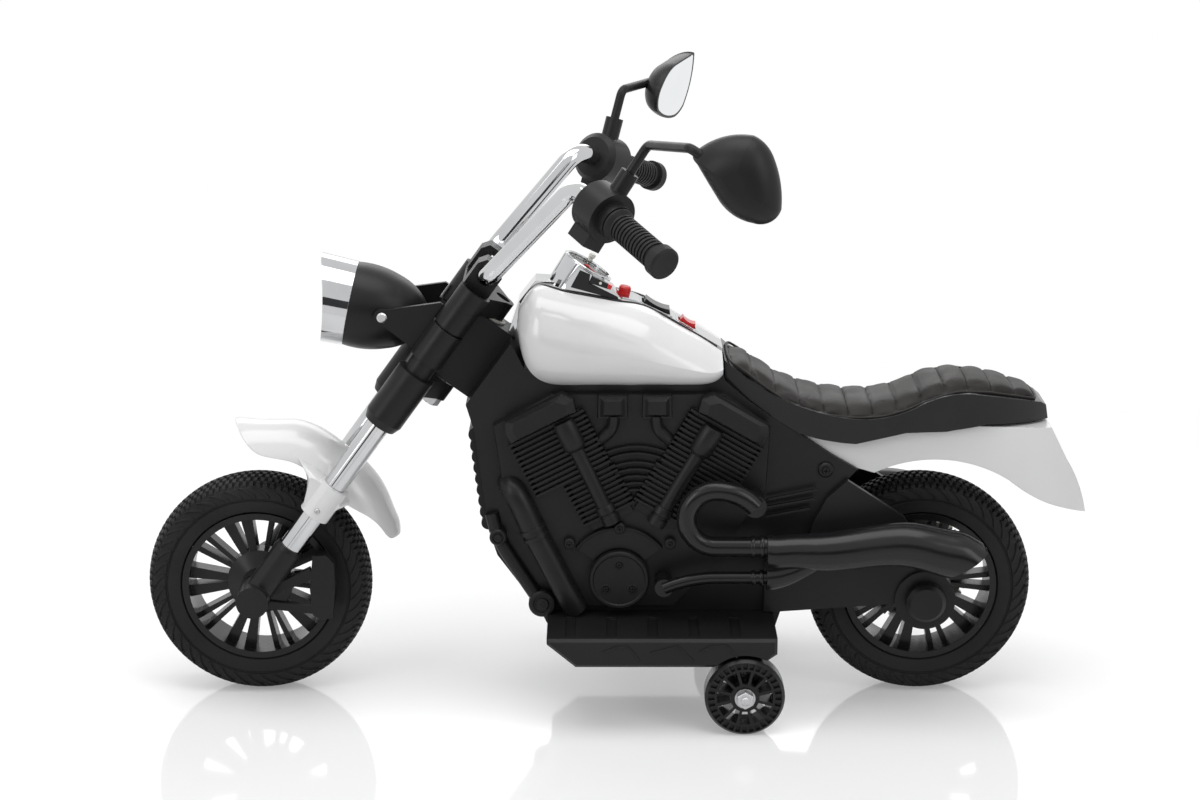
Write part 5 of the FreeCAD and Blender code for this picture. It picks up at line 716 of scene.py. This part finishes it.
for word, axle_x in (("front", 357.5), ("rear", -307)):
    centre = mm(axle_x, 0, TYRE_RADIUS)
    name = f"{word}_tyre_rubber"
    set_piece(name, tyre_mesh(name, centre), tyre_rubber, f"{word}_wheel_set",
              [f"{word}_tyre"], 40)

# %% [markdown]
# ## Seat pad
# The pad is a foam moulding in a leather cloth cover, sewn across in channels. A first closed form follows
# the line of the seat, a little small. Cloth with inner pressure then fills it as foam fills a cover, and the
# movement is capped. The channels come after that, as narrow valleys with full rolls between them, because
# a remesh would wash them out. Stitches run in the channels, and a welt closes the edge.

# %% Pad form
SEAT_FRONT = -107.0
SEAT_LENGTH = 321.0
SEAT_LOW = 273.0
SEAT_RISE = 82.0
SEAT_HALF = 58.0
PAD_INSET = 5.0
PAD_CROWN = 7.0
PAD_SINK = 6.0
PAD_SHOULDER, PAD_FULLNESS = 3.4, 0.75
# place, seam height, half width and crown along the seat, as shares
pad_shares = [(0.012, 0.95, 0.80, 0.25), (0.053, 0.86, 0.84, 0.38), (0.094, 0.725, 0.87, 0.50),
              (0.168, 0.528, 0.93, 0.75), (0.25, 0.373, 0.97, 0.92), (0.32, 0.317, 0.99, 1.0),
              (0.40, 0.285, 1.0, 1.0), (0.48, 0.30, 1.0, 1.0), (0.55, 0.379, 0.99, 0.98),
              (0.635, 0.523, 0.96, 0.90), (0.71, 0.595, 0.92, 0.82), (0.80, 0.575, 0.85, 0.66),
              (0.88, 0.51, 0.72, 0.46), (0.962, 0.43, 0.50, 0.25)]
PAD_START, PAD_STOP = pad_shares[0][0], pad_shares[-1][0]


def pad_places(steps):
    """Even places from the front of the pad to its back, as shares of the seat."""
    return [PAD_START + (PAD_STOP - PAD_START) * step / steps for step in range(steps + 1)]


def pad_station(share):
    for first, last in zip(pad_shares, pad_shares[1:]):
        if share <= last[0] or last is pad_shares[-1]:
            part = (share - first[0]) / (last[0] - first[0])
            return [a + (b - a) * part for a, b in zip(first[1:], last[1:])]


def pad_form():
    work = bmesh.new()
    across = [-1, -0.97, -0.9, -0.78, -0.6, -0.3, 0, 0.3, 0.6, 0.78, 0.9, 0.97, 1]
    loops = []
    for share in pad_places(60):
        seam, wide, high = pad_station(share)
        half = wide * SEAT_HALF - PAD_INSET
        low = SEAT_LOW + seam * SEAT_RISE
        x = SEAT_FRONT - share * SEAT_LENGTH
        loop = [(x, u * half, low + high * PAD_CROWN * (1 - abs(u) ** PAD_SHOULDER) ** PAD_FULLNESS)
                for u in across]
        loop += [(x, u * half * 0.98, low - PAD_SINK) for u in reversed(across)]
        loops.append([work.verts.new(mm(*spot)) for spot in loop])
    return closed_mesh("seat_pad_form", add_skin(work, loops))


pad_mesh = pad_form()
print("pad form", len(pad_mesh.polygons), "faces")


# %% Fill the pad
PAD_VOXEL = 4.0
PAD_CAP = 3.0
PAD_PRESSURE = 4
CLOTH_FRAMES = 20


def fill_pad(mesh):
    """Remesh evenly, swell as cloth under pressure, cap the movement and subdivide once."""
    holder = bpy.data.objects.new("seat_pad_filling", mesh)
    scene.collection.objects.link(holder)
    grid = holder.modifiers.new("grid", "REMESH")
    grid.mode = "VOXEL"
    grid.voxel_size = PAD_VOXEL * MM
    even = plain_mesh(holder)
    start = [vertex.co.copy() for vertex in even.vertices]
    holder = bpy.data.objects.new("seat_pad_cloth", even.copy())
    scene.collection.objects.link(holder)
    cloth = holder.modifiers.new("cloth", "CLOTH")
    cloth.settings.use_pressure = True
    cloth.settings.uniform_pressure_force = PAD_PRESSURE
    cloth.settings.effector_weights.gravity = 0
    cloth.point_cache.frame_start = 1
    cloth.point_cache.frame_end = CLOTH_FRAMES
    for moment in range(1, CLOTH_FRAMES + 1):
        scene.frame_set(moment)
    filled = plain_mesh(holder)
    scene.frame_set(1)
    for vertex, rest, swollen in zip(even.vertices, start, filled.vertices):
        move = swollen.co - rest
        if move.length > PAD_CAP * MM:
            move *= PAD_CAP * MM / move.length
        vertex.co = rest + move
    bpy.data.meshes.remove(filled)
    holder = bpy.data.objects.new("seat_pad_fine", even)
    scene.collection.objects.link(holder)
    finer = holder.modifiers.new("finer", "SUBSURF")
    finer.levels = finer.render_levels = 1
    return plain_mesh(holder)


pad_mesh = fill_pad(pad_mesh)
print("pad filled,", len(pad_mesh.polygons), "faces")

# %% Sew the channels
CHANNELS = 12
VALLEY = 1.5
VALLEY_DEPTH = 2.4
ROLL_HEIGHT = 1.0
pad_first = SEAT_FRONT - PAD_START * SEAT_LENGTH
pad_step = (PAD_STOP - PAD_START) * SEAT_LENGTH / (CHANNELS + 1)


def seam_height(x):
    """Height of the pad's lower edge at a place along the seat, in millimetres."""
    return SEAT_LOW + pad_station((SEAT_FRONT - x) / SEAT_LENGTH)[0] * SEAT_RISE


for vertex, normal in zip(pad_mesh.vertices, [item.normal.copy() for item in pad_mesh.vertices]):
    x, y, z = vertex.co / MM
    over = z - seam_height(x)
    weight = min(1.0, max(0.0, (over + 1.0) / 3.0))
    along = (pad_first - x) / pad_step
    nearest = min(max(round(along), 1), CHANNELS)
    valley = math.exp(-((along - nearest) * pad_step / VALLEY) ** 2)
    roll = math.sin(math.pi * min(max(along, 0.0), CHANNELS + 1.0)) ** 2
    vertex.co += normal * (weight * (ROLL_HEIGHT * roll - VALLEY_DEPTH * valley) * MM)
    vertex.co.z = max(vertex.co.z, (seam_height(x) - PAD_SINK) * MM)
seat_cover = set_piece("seat_pad_cover", pad_mesh, seat_leather, "frame", ["seat_pad"], 60)


# %% Stitches and welt
STITCH_REACH = 0.86


def channel_path(surface, x):
    """Points across the pad in one channel, found by looking down on it from a line above."""
    seam, wide, high = pad_station((SEAT_FRONT - x) / SEAT_LENGTH)
    half = STITCH_REACH * (wide * SEAT_HALF - PAD_INSET)
    spots = []
    for step in range(41):
        y = half * (step / 20 - 1)
        hit = surface.ray_cast(mm(x, y, SEAT_LOW + SEAT_RISE + 60), DOWN)[0]
        if hit and hit.z > (SEAT_LOW + seam * SEAT_RISE) * MM:
            spots.append(hit + Vector((0, 0, 0.1 * MM)))
    return spots


surface = BVHTree.FromPolygons([vertex.co for vertex in pad_mesh.vertices],
                               [polygon.vertices[:] for polygon in pad_mesh.polygons])
stitch_lines = bpy.data.meshes.new("stitch_lines")
spots, edges = [], []
for channel in range(1, CHANNELS + 1):
    path_spots = channel_path(surface, pad_first - channel * pad_step)
    edges += [(len(spots) + step, len(spots) + step + 1) for step in range(len(path_spots) - 1)]
    spots += path_spots
stitch_lines.from_pydata(spots, edges, [])
stitches = grown("stitches", stitch_lines, stitch_row,
                 {"Pitch": 3.6 * MM, "Length": 1.2 * MM, "Thread": 0.28 * MM, "Finish": stitch_thread})
set_piece("seat_stitches", stitches, stitch_thread, "frame")

edge_line = []
for side in (1, -1):
    for share in pad_places(30)[::side]:
        seam, wide, high = pad_station(share)
        edge_line.append((SEAT_FRONT - share * SEAT_LENGTH, side * (wide * SEAT_HALF - PAD_INSET + 1.0),
                          SEAT_LOW + seam * SEAT_RISE - 0.2))
set_piece("seat_welt", tube("seat_welt", edge_line, 1.3, closed=True), seat_leather, "frame")

# %% [markdown]
# ## Engine castings
# The engine is a dummy moulded in relief, one cover on each side. The solid covers give its blocks, and here
# they are replaced by finer castings: a plate, two leaning cylinders with thin fins, rocker boxes with sloped
# edges, intake caps, pushrod tubes and a timing cover. One fin is made, and the tree in_line repeats it along
# the lean of its cylinder. Everything is made for the left side and mirrored.

# %% Plate, cylinders and rocker boxes
CRANK = (-20.6, 152.0)
COVER_Y = 54.0
PLATE_Y = COVER_Y + 7
FIN_PITCH = 5.2
FIN_THICK = 2.6
# lean in degrees, the way along the bike, and how far the cylinder's middle stands off the line of the lean
cylinders = [(27, 1, 15.0), (30, -1, 8.0)]
cover_plate = [(119, 291), (62, 323.5), (-107, 323.5), (-152, 288), (-149, 228), (-101, 148.6),
               (-58.6, 104.3), (45.6, 104.3), (95.8, 185.3), (112, 240)]
rocker_line = [(187, 33), (187.5, -30), (178, -38), (165, -34.5), (165, 37.5), (177, 38)]


def vee_point(along, side, lean, way):
    """A point on a cylinder at a distance along its lean and to the outer side of it."""
    turn = math.radians(lean)
    return (CRANK[0] + way * (along * math.sin(turn) + side * math.cos(turn)),
            CRANK[1] + along * math.cos(turn) - side * math.sin(turn))


def vee_block(near, far, inner, outer, lean, way):
    corners = ((near, inner), (far, inner), (far, outer), (near, outer))
    return [vee_point(along, side, lean, way) for along, side in corners]


def fin_row(start, count, inner, outer, lean, way, rise):
    turn = math.radians(lean)
    outline = vee_block(start, start + FIN_THICK, inner, outer, lean, way)
    fin = add_slab(bmesh.new(), outline, PLATE_Y, COVER_Y + rise, 0.25)
    step = mm(way * FIN_PITCH * math.sin(turn), 0, FIN_PITCH * math.cos(turn))
    return grown("fins", closed_mesh("fin", fin), in_line,
                 {"Count": count, "Step": step, "Finish": satin_black})


work = add_slab(bmesh.new(), cover_plate, COVER_Y - 1, COVER_Y + 8, 1.2)
for lean, way, middle in cylinders:
    add_slab(work, vee_block(48, 106, middle - 37, middle + 7, lean, way), PLATE_Y, COVER_Y + 11)
    add_slab(work, vee_block(102, 166, middle - 36, middle + 36, lean, way), PLATE_Y, COVER_Y + 11.5)
    pour(work, fin_row(56, 9, middle - 43, middle + 13, lean, way, 14.5))
    pour(work, fin_row(104, 12, middle - 41, middle + 41, lean, way, 15.5))
    outline = [vee_point(along, middle + side, lean, way) for along, side in rocker_line]
    add_slab(work, outline, PLATE_Y, COVER_Y + 19.5, 0.6)
    drawn = [vee_point(176 + 0.97 * (along - 176), middle + 0.97 * side, lean, way)
             for along, side in rocker_line]
    add_slab(work, drawn, COVER_Y + 19.4, COVER_Y + 25.5, 6.0)
for x in (2.2, -41.0):
    cap = [(x - 15, 299), (x + 15, 299), (x + 14.5, 323.4), (x - 14.5, 323.4)]
    add_slab(work, cap, PLATE_Y, COVER_Y + 14, 0.8)
    lid = [(x - 12.5, 301.5), (x + 12.5, 301.5), (x + 12, 321), (x - 12, 321)]
    add_slab(work, lid, COVER_Y + 13.9, COVER_Y + 18, 3.6)
set_work("engine_castings", both_sides(work), satin_black, "frame",
          ["engine_covers"], 20)

# %% Pushrod tubes and intake bends
rod_profile = [(0, 46), (9.2, 46), (9.2, 54), (8.2, 55), (8.2, 57), (9.8, 58), (9.8, 64), (8.8, 66),
               (7.6, 66.5), (8, 128), (11, 131), (11.8, 133), (11.8, 156), (10.4, 160), (0, 160)]
work = bmesh.new()
for foot, lean in ((-17, 25), (-17, -29.8)):
    turn = math.radians(lean)
    way = Vector((math.sin(turn), 0, math.cos(turn)))
    add_turned(work, rod_profile, mm(foot, COVER_Y + 12.5, CRANK[1]), way, 28)
for x, way in ((1, 1), (-40, -1)):
    bend = [(x, 65, 302), (x, 65, 292), (x + way * 5, 65, 284), (x + way * 14, 62, 276)]
    pour(work, tube("intake_bend", bend, 6.0))
set_work("engine_tubes", both_sides(work), satin_black, "frame", crease=30)


# %% Fan bars, timing cover and round cover
def add_arc_bar(work, centre, radius, sweep, half, low, high, taper=0.6, steps=20):
    """A bar bent about a centre by the same sweep each way, raised between two distances across the bike."""
    loops = []
    for step in range(steps + 1):
        turn = math.radians(sweep * (2 * step / steps - 1))
        way = (math.sin(turn), math.cos(turn))
        loops.append([work.verts.new(mm(centre[0] + reach * way[0], y, centre[1] + reach * way[1]))
                      for reach, y in ((radius - half, low), (radius + half, low),
                                       (radius + taper * half, high), (radius - taper * half, high))])
    add_skin(work, loops)


work = bmesh.new()
for radius, sweep in ((71, 27), (64, 24), (55, 26), (48, 26), (41, 24), (34, 22), (27, 20)):
    add_arc_bar(work, (CRANK[0] - 0.5, 200.0), radius, sweep, 1.6, PLATE_Y, COVER_Y + 13)
timing_centre = (-4.4, 136.5)
BOLT_CIRCLE = 16
add_arc_bar(work, timing_centre, 41.5, 54, 11.5, PLATE_Y, COVER_Y + 13, 0.95, 32)
add_arc_bar(work, timing_centre, 51.5, 54, 1.2, COVER_Y + 12.8, COVER_Y + 14.4, 0.6, 32)
set_work("engine_bars", both_sides(work), satin_black, "frame", crease=20)

work = bmesh.new()
cover_at = mm(timing_centre[0], COVER_Y, timing_centre[1])
round_cover = [(0, 6), (29.6, 6), (29.6, 20), (28.4, 21.6), (26, 21.6), (25, 20.4), (0, 20)]
add_turned(work, round_cover, cover_at, ACROSS, 64)
lug_spots = [(-5, 188), (44.5, 172), (-54.5, 172)]
for x, z in lug_spots:
    add_turned(work, [(0, 6), (5.6, 6), (5.6, 14.4), (4.6, 15.4), (0, 15.4)], mm(x, COVER_Y, z), ACROSS, 20)
bolt_spots = [(timing_centre[0] + BOLT_CIRCLE * math.cos(math.radians(turn)),
               timing_centre[1] + BOLT_CIRCLE * math.sin(math.radians(turn))) for turn in (90, 215, 325)]
for x, z in bolt_spots:
    seat = [(3.4, 19.5), (4.6, 19.5), (4.6, 21), (3.4, 21)]
    add_turned(work, seat, mm(x, COVER_Y, z), ACROSS, 20, ring=True)
set_work("engine_rings", both_sides(work), satin_black, "frame", crease=30)

# %% Down pipe and front frame tube
work = bmesh.new()
pipe_line = [(104, 52, 231), (101, 64, 229), (93, 69, 216), (78, 69, 182), (62, 69, 151), (46, 69, 118),
             (38, 64, 103)]
pour(work, tube("down_pipe", pipe_line, 11.6, rounds=6))
clamp_at = mm(79.5, 69, 185)
clamp_way = Vector((-0.42, 0, -0.91))
for along in (-5, 3):
    clamp = [(11, along), (12.8, along), (12.8, along + 4), (11, along + 4)]
    add_turned(work, clamp, clamp_at, clamp_way, 32, ring=True)
pour(work, tube("frame_tube", [(121, 56, 200), (116, 57, 176), (98, 57, 146), (72, 57, 106)], 7.0))
for x, z, radius in ((114.5, 177.5, 8.5), (71.6, 108.5, 13.5)):
    profile = [(0, -2), (radius, -2), (radius, 11), (radius - 1.5, 12.5), (0.66 * radius, 12.5),
               (0.62 * radius, 11.4), (0.5 * radius, 11.4), (0.44 * radius, 13.2), (0, 13.2)]
    add_turned(work, profile, mm(x, COVER_Y, z), ACROSS, 32)
set_work("front_tubes", both_sides(work), satin_black, "frame", crease=35)

# %% [markdown]
# ## Side covers, exhaust bands and footboards
# Behind the engine a cover carries three slanted ribs, the header pipes are banded where they meet the
# silencer, and the outer faces of the footboards have three raised notches each. They are thin ribs on
# flat faces, so a short bar between two points is enough.


# %% Ribs and bands
def add_rib(work, spots, half, low, high):
    """A raised line through (x, z) points on a face across the bike."""
    for (x0, z0), (x1, z1) in zip(spots, spots[1:]):
        way = Vector((x1 - x0, z1 - z0)).normalized()
        side = Vector((-way.y, way.x)) * half
        start = Vector((x0, z0)) - way * half * 0.6
        stop = Vector((x1, z1)) + way * half * 0.6
        outline = [start + side, stop + side, stop - side, start - side]
        add_slab(work, [(spot.x, spot.y) for spot in outline], low, high, 0.3 * half)


work = bmesh.new()
cover_marks = [((-150, 216), (-197.6, 226)), ((-148.6, 208), (-195, 216.5)),
               ((-148.7, 198.6), (-191.5, 206.7))]
for spots in cover_marks:
    add_rib(work, spots, 1.0, 60, 63.8)
board_marks = [((12, 84.6), (-1.6, 90.6), (-12.6, 91), (-24, 76)), ((-35, 84.6), (-61, 91.4), (-76, 76)),
               ((-82, 85.8), (-92, 91.4), (-108, 92), (-118, 80))]
for spots in board_marks:
    add_rib(work, spots, 0.9, 137.6, 138.9)
add_turned(work, [(0, 0), (7.6, 0), (7.6, 3), (6.2, 4.4), (0, 4.4)], mm(-206.5, 53.5, 244.2), ACROSS, 28)
set_work("side_ribs", both_sides(work), satin_black, "frame", crease=20)

work = bmesh.new()
EXHAUST_Y = 92
length_way = Vector((-1, 0, 0))
for x, z, radius in ((-141, 177, 10.8), (-132, 177, 10.4), (-141, 145.4, 7.2), (-133, 145.4, 6.8)):
    band = [(radius - 2, 0), (radius, 0), (radius + 0.6, 1), (radius + 0.6, 3), (radius, 4), (radius - 2, 4)]
    add_turned(work, band, mm(x, EXHAUST_Y, z), length_way, 32, ring=True)
set_work("exhaust_bands", both_sides(work), polished_black, "frame")

# %% [markdown]
# ## Console, dial and switches
# The console carries a dial with ticks and a needle, a small slide switch on the pod's flank and a knob.
# The ticks are one bar repeated by the tree around_axle. A dark gasket closes the seam between the plated
# console and each white panel.

# %% Dial ticks and needle
work = bmesh.new()
dial_turn = pod_way.to_track_quat("Z", "X").to_matrix()


def add_dial_bar(work, near, far, half_near, half_far, height, turned=0.0):
    spin = Matrix.Rotation(turned, 3, "Z")
    loops = []
    for up in (0, height):
        loop = [(near, -half_near), (far, -half_far), (far, half_far), (near, half_near)]
        loops.append([work.verts.new(dial_turn @ (spin @ mm(u, v, up))) for u, v in loop])
    add_skin(work, loops)


add_dial_bar(work, 15.5, 19.5, 0.5, 0.5, 0.25)
for turned in (10, 20):
    add_dial_bar(work, 17.6, 19.5, 0.25, 0.25, 0.25, math.radians(turned))
ticks = grown("dial_ticks", closed_mesh("dial_tick", work), around_axle,
              {"Count": 12, "Centre": dial_top, "Axle": pod_way, "Finish": gear_white})
set_piece("dial_ticks", ticks, gear_white, "frame")

work = bmesh.new()
add_dial_bar(work, -4, 15, 0.9, 0.25, 0.7, math.radians(140))
bmesh.ops.translate(work, verts=work.verts, vec=dial_top)
add_turned(work, [(0, 0), (2.4, 0), (2.4, 0.9), (1.6, 1.4), (0, 1.4)], dial_top, pod_way, 24)
set_work("dial_needle", work, signal_red, "frame")

bezel = [(22.4, -1), (24.6, -1), (24.6, 0.8), (23.8, 1.6), (22.4, 0.6)]
work = add_turned(bmesh.new(), bezel, pod_face, pod_way, 64, ring=True)
set_work("dial_bezel", work, chrome, "frame")


# %% Slide switch, knob and seam gaskets
switch_frame = [(49, 416), (49, 425), (36, 442.4), (2, 422.4), (-8, 408), (-6, 404)]
work = add_slab(bmesh.new(), switch_frame, 16, 29, 0.8)
set_work("pod_switch_frame", work, chrome, "frame", crease=20)
switch_plate = [(43, 421.5), (34, 438.4), (24, 434.4), (25.3, 426), (-3, 411.5), (-4, 408.5)]
switch_slide = [(25.3, 426.2), (22.2, 433.2), (3, 423.6), (6, 419.6)]
work = add_slab(bmesh.new(), switch_plate, 28.4, 30.2, 0.3)
add_slab(work, switch_slide, 28.4, 32, 0.5)
set_work("pod_switch", work, polished_black, "frame", crease=20)
work = add_slab(bmesh.new(), [(8.2, 421), (6.6, 425.6), (1.8, 423.4), (4.2, 418.8)], 28.6, 32.8, 0.4)
set_work("pod_switch_end", work, signal_red, "frame", crease=20)
work = add_turned(bmesh.new(), [(0, 0), (2.6, 0), (2.6, 4), (3.4, 4.6), (3.4, 7.4), (2.8, 8), (0, 8)],
                  mm(25, -24.4, 436.4), pod_way, 24)
add_turned(work, [(0, 0), (1.5, 0), (1.5, 0.7), (0, 0.7)], mm(14, 31.8, 426), ACROSS, 16)
set_work("pod_knob", work, gear_white, "frame")

# place along the bike and distance across it; on the left the seam goes round the switch
left_seam = [(92, 18), (84, 18.5), (72, 20), (60, 26), (48, 31), (30, 31.5), (10, 31.5), (-6, 31), (-20, 25),
             (-34, 20), (-50, 18.6), (-75, 18), (-100, 17.6)]
RAY_TOP = 600
right_seam = [(x, -min(y, 20)) for x, y in left_seam]
work = bmesh.new()
for seam, node in ((left_seam, "tank_panel_left"), (right_seam, "tank_panel_right")):
    panel = BVHTree.FromObject(nodes[node], bpy.context.evaluated_depsgraph_get())
    path_spots = []
    for x, y in seam:
        hit = panel.ray_cast(mm(x, y, RAY_TOP), DOWN)[0]
        if hit:
            path_spots.append(tuple(hit / MM))
    pour(work, tube("seam", path_spots, 1.5))
set_work("tank_gaskets", work, satin_black, "frame")

# %% [markdown]
# ## Lamp inside
# Behind the clear lens sits a plated bowl with a bulb. The bowl is a turned shape with a wall, deep enough
# to show from the front, and the bulb a small turned capsule on its base.

# %% Lamp bowl and bulb
LAMP_TILT = math.radians(12)
lamp_front = mm(286, 0, 404.6)
lamp_way = Vector((math.cos(LAMP_TILT), 0, math.sin(LAMP_TILT)))
bowl = [(37.2, -17.5), (36, -24), (32, -37), (25, -50), (16, -60), (8, -64), (8, -65.5), (17, -61.5),
        (26.2, -51), (33.2, -37.5), (37.6, -24), (38.4, -17.5)]
work = add_turned(bmesh.new(), bowl, lamp_front, lamp_way, 64, ring=True)
set_work("lamp_bowl", work, chrome, "steering")
bulb = [(0, -66), (9, -66), (9, -61), (5, -59), (5, -55), (6.5, -50), (6.5, -43), (4.6, -38.5), (2, -36.6),
        (0, -36.2)]
work = add_turned(bmesh.new(), bulb, lamp_front, lamp_way, 32)
set_work("lamp_bulb", work, gear_white, "steering")

# %% [markdown]
# ## Fasteners
# Cross-head screws hold the body, the engine covers and the fender. They are one screw set on marked points,
# each point with the direction that its head faces. The stabiliser nuts are hexagons over their bolts.


# %% Screws
def screws(name, spots, radius, height, finish, body, replaced=()):
    marks = bpy.data.meshes.new(name + "_marks")
    marks.from_pydata([mm(*spot) for spot, way in spots], [], [])
    facing = marks.attributes.new("facing", "FLOAT_VECTOR", "POINT")
    for item, (spot, way) in zip(facing.data, spots):
        item.vector = way
    mesh = grown(name, marks, screw_set, {"Head Radius": radius * MM, "Head Height": height * MM,
                                          "Slot Width": 0.26 * radius * MM, "Finish": finish})
    return set_piece(name, mesh, finish, body, replaced, 25)


def mirrored(spots):
    return [((x, side * y, z), (0, side, 0)) for x, y, z in spots for side in (1, -1)]


body_spots = [(-206.5, 57.8, 244.2), (114.5, 64.6, 177.5), (71.6, 64.6, 108.5)]
screws("body_screw_heads", mirrored(body_spots), 4.2, 3, satin_black, "frame", ["body_screws"])
cover_spots = [(x, 69, z) for x, z in lug_spots] + [(x, 73.8, z) for x, z in bolt_spots]
screws("cover_screws", mirrored(cover_spots), 3.2, 1.8, satin_black, "frame")
screws("fender_screws", mirrored([(291.3, 67.6, 205.2)]), 3.0, 1.8, zinc, "steering")

# %% Hexagon nuts
stabiliser_axle = mm(-126, 0, 39)
work = bmesh.new()
for start, stop, radius, count in ((142.9, 149.2, 9.0, 6), (149, 151.5, 4.2, 24)):
    add_turned(work, [(0, start), (radius, start), (radius, stop - 0.8), (radius - 0.8, stop), (0, stop)],
               stabiliser_axle, ACROSS, count)
set_work("stabiliser_nuts", both_sides(work), zinc, "frame", crease=20)
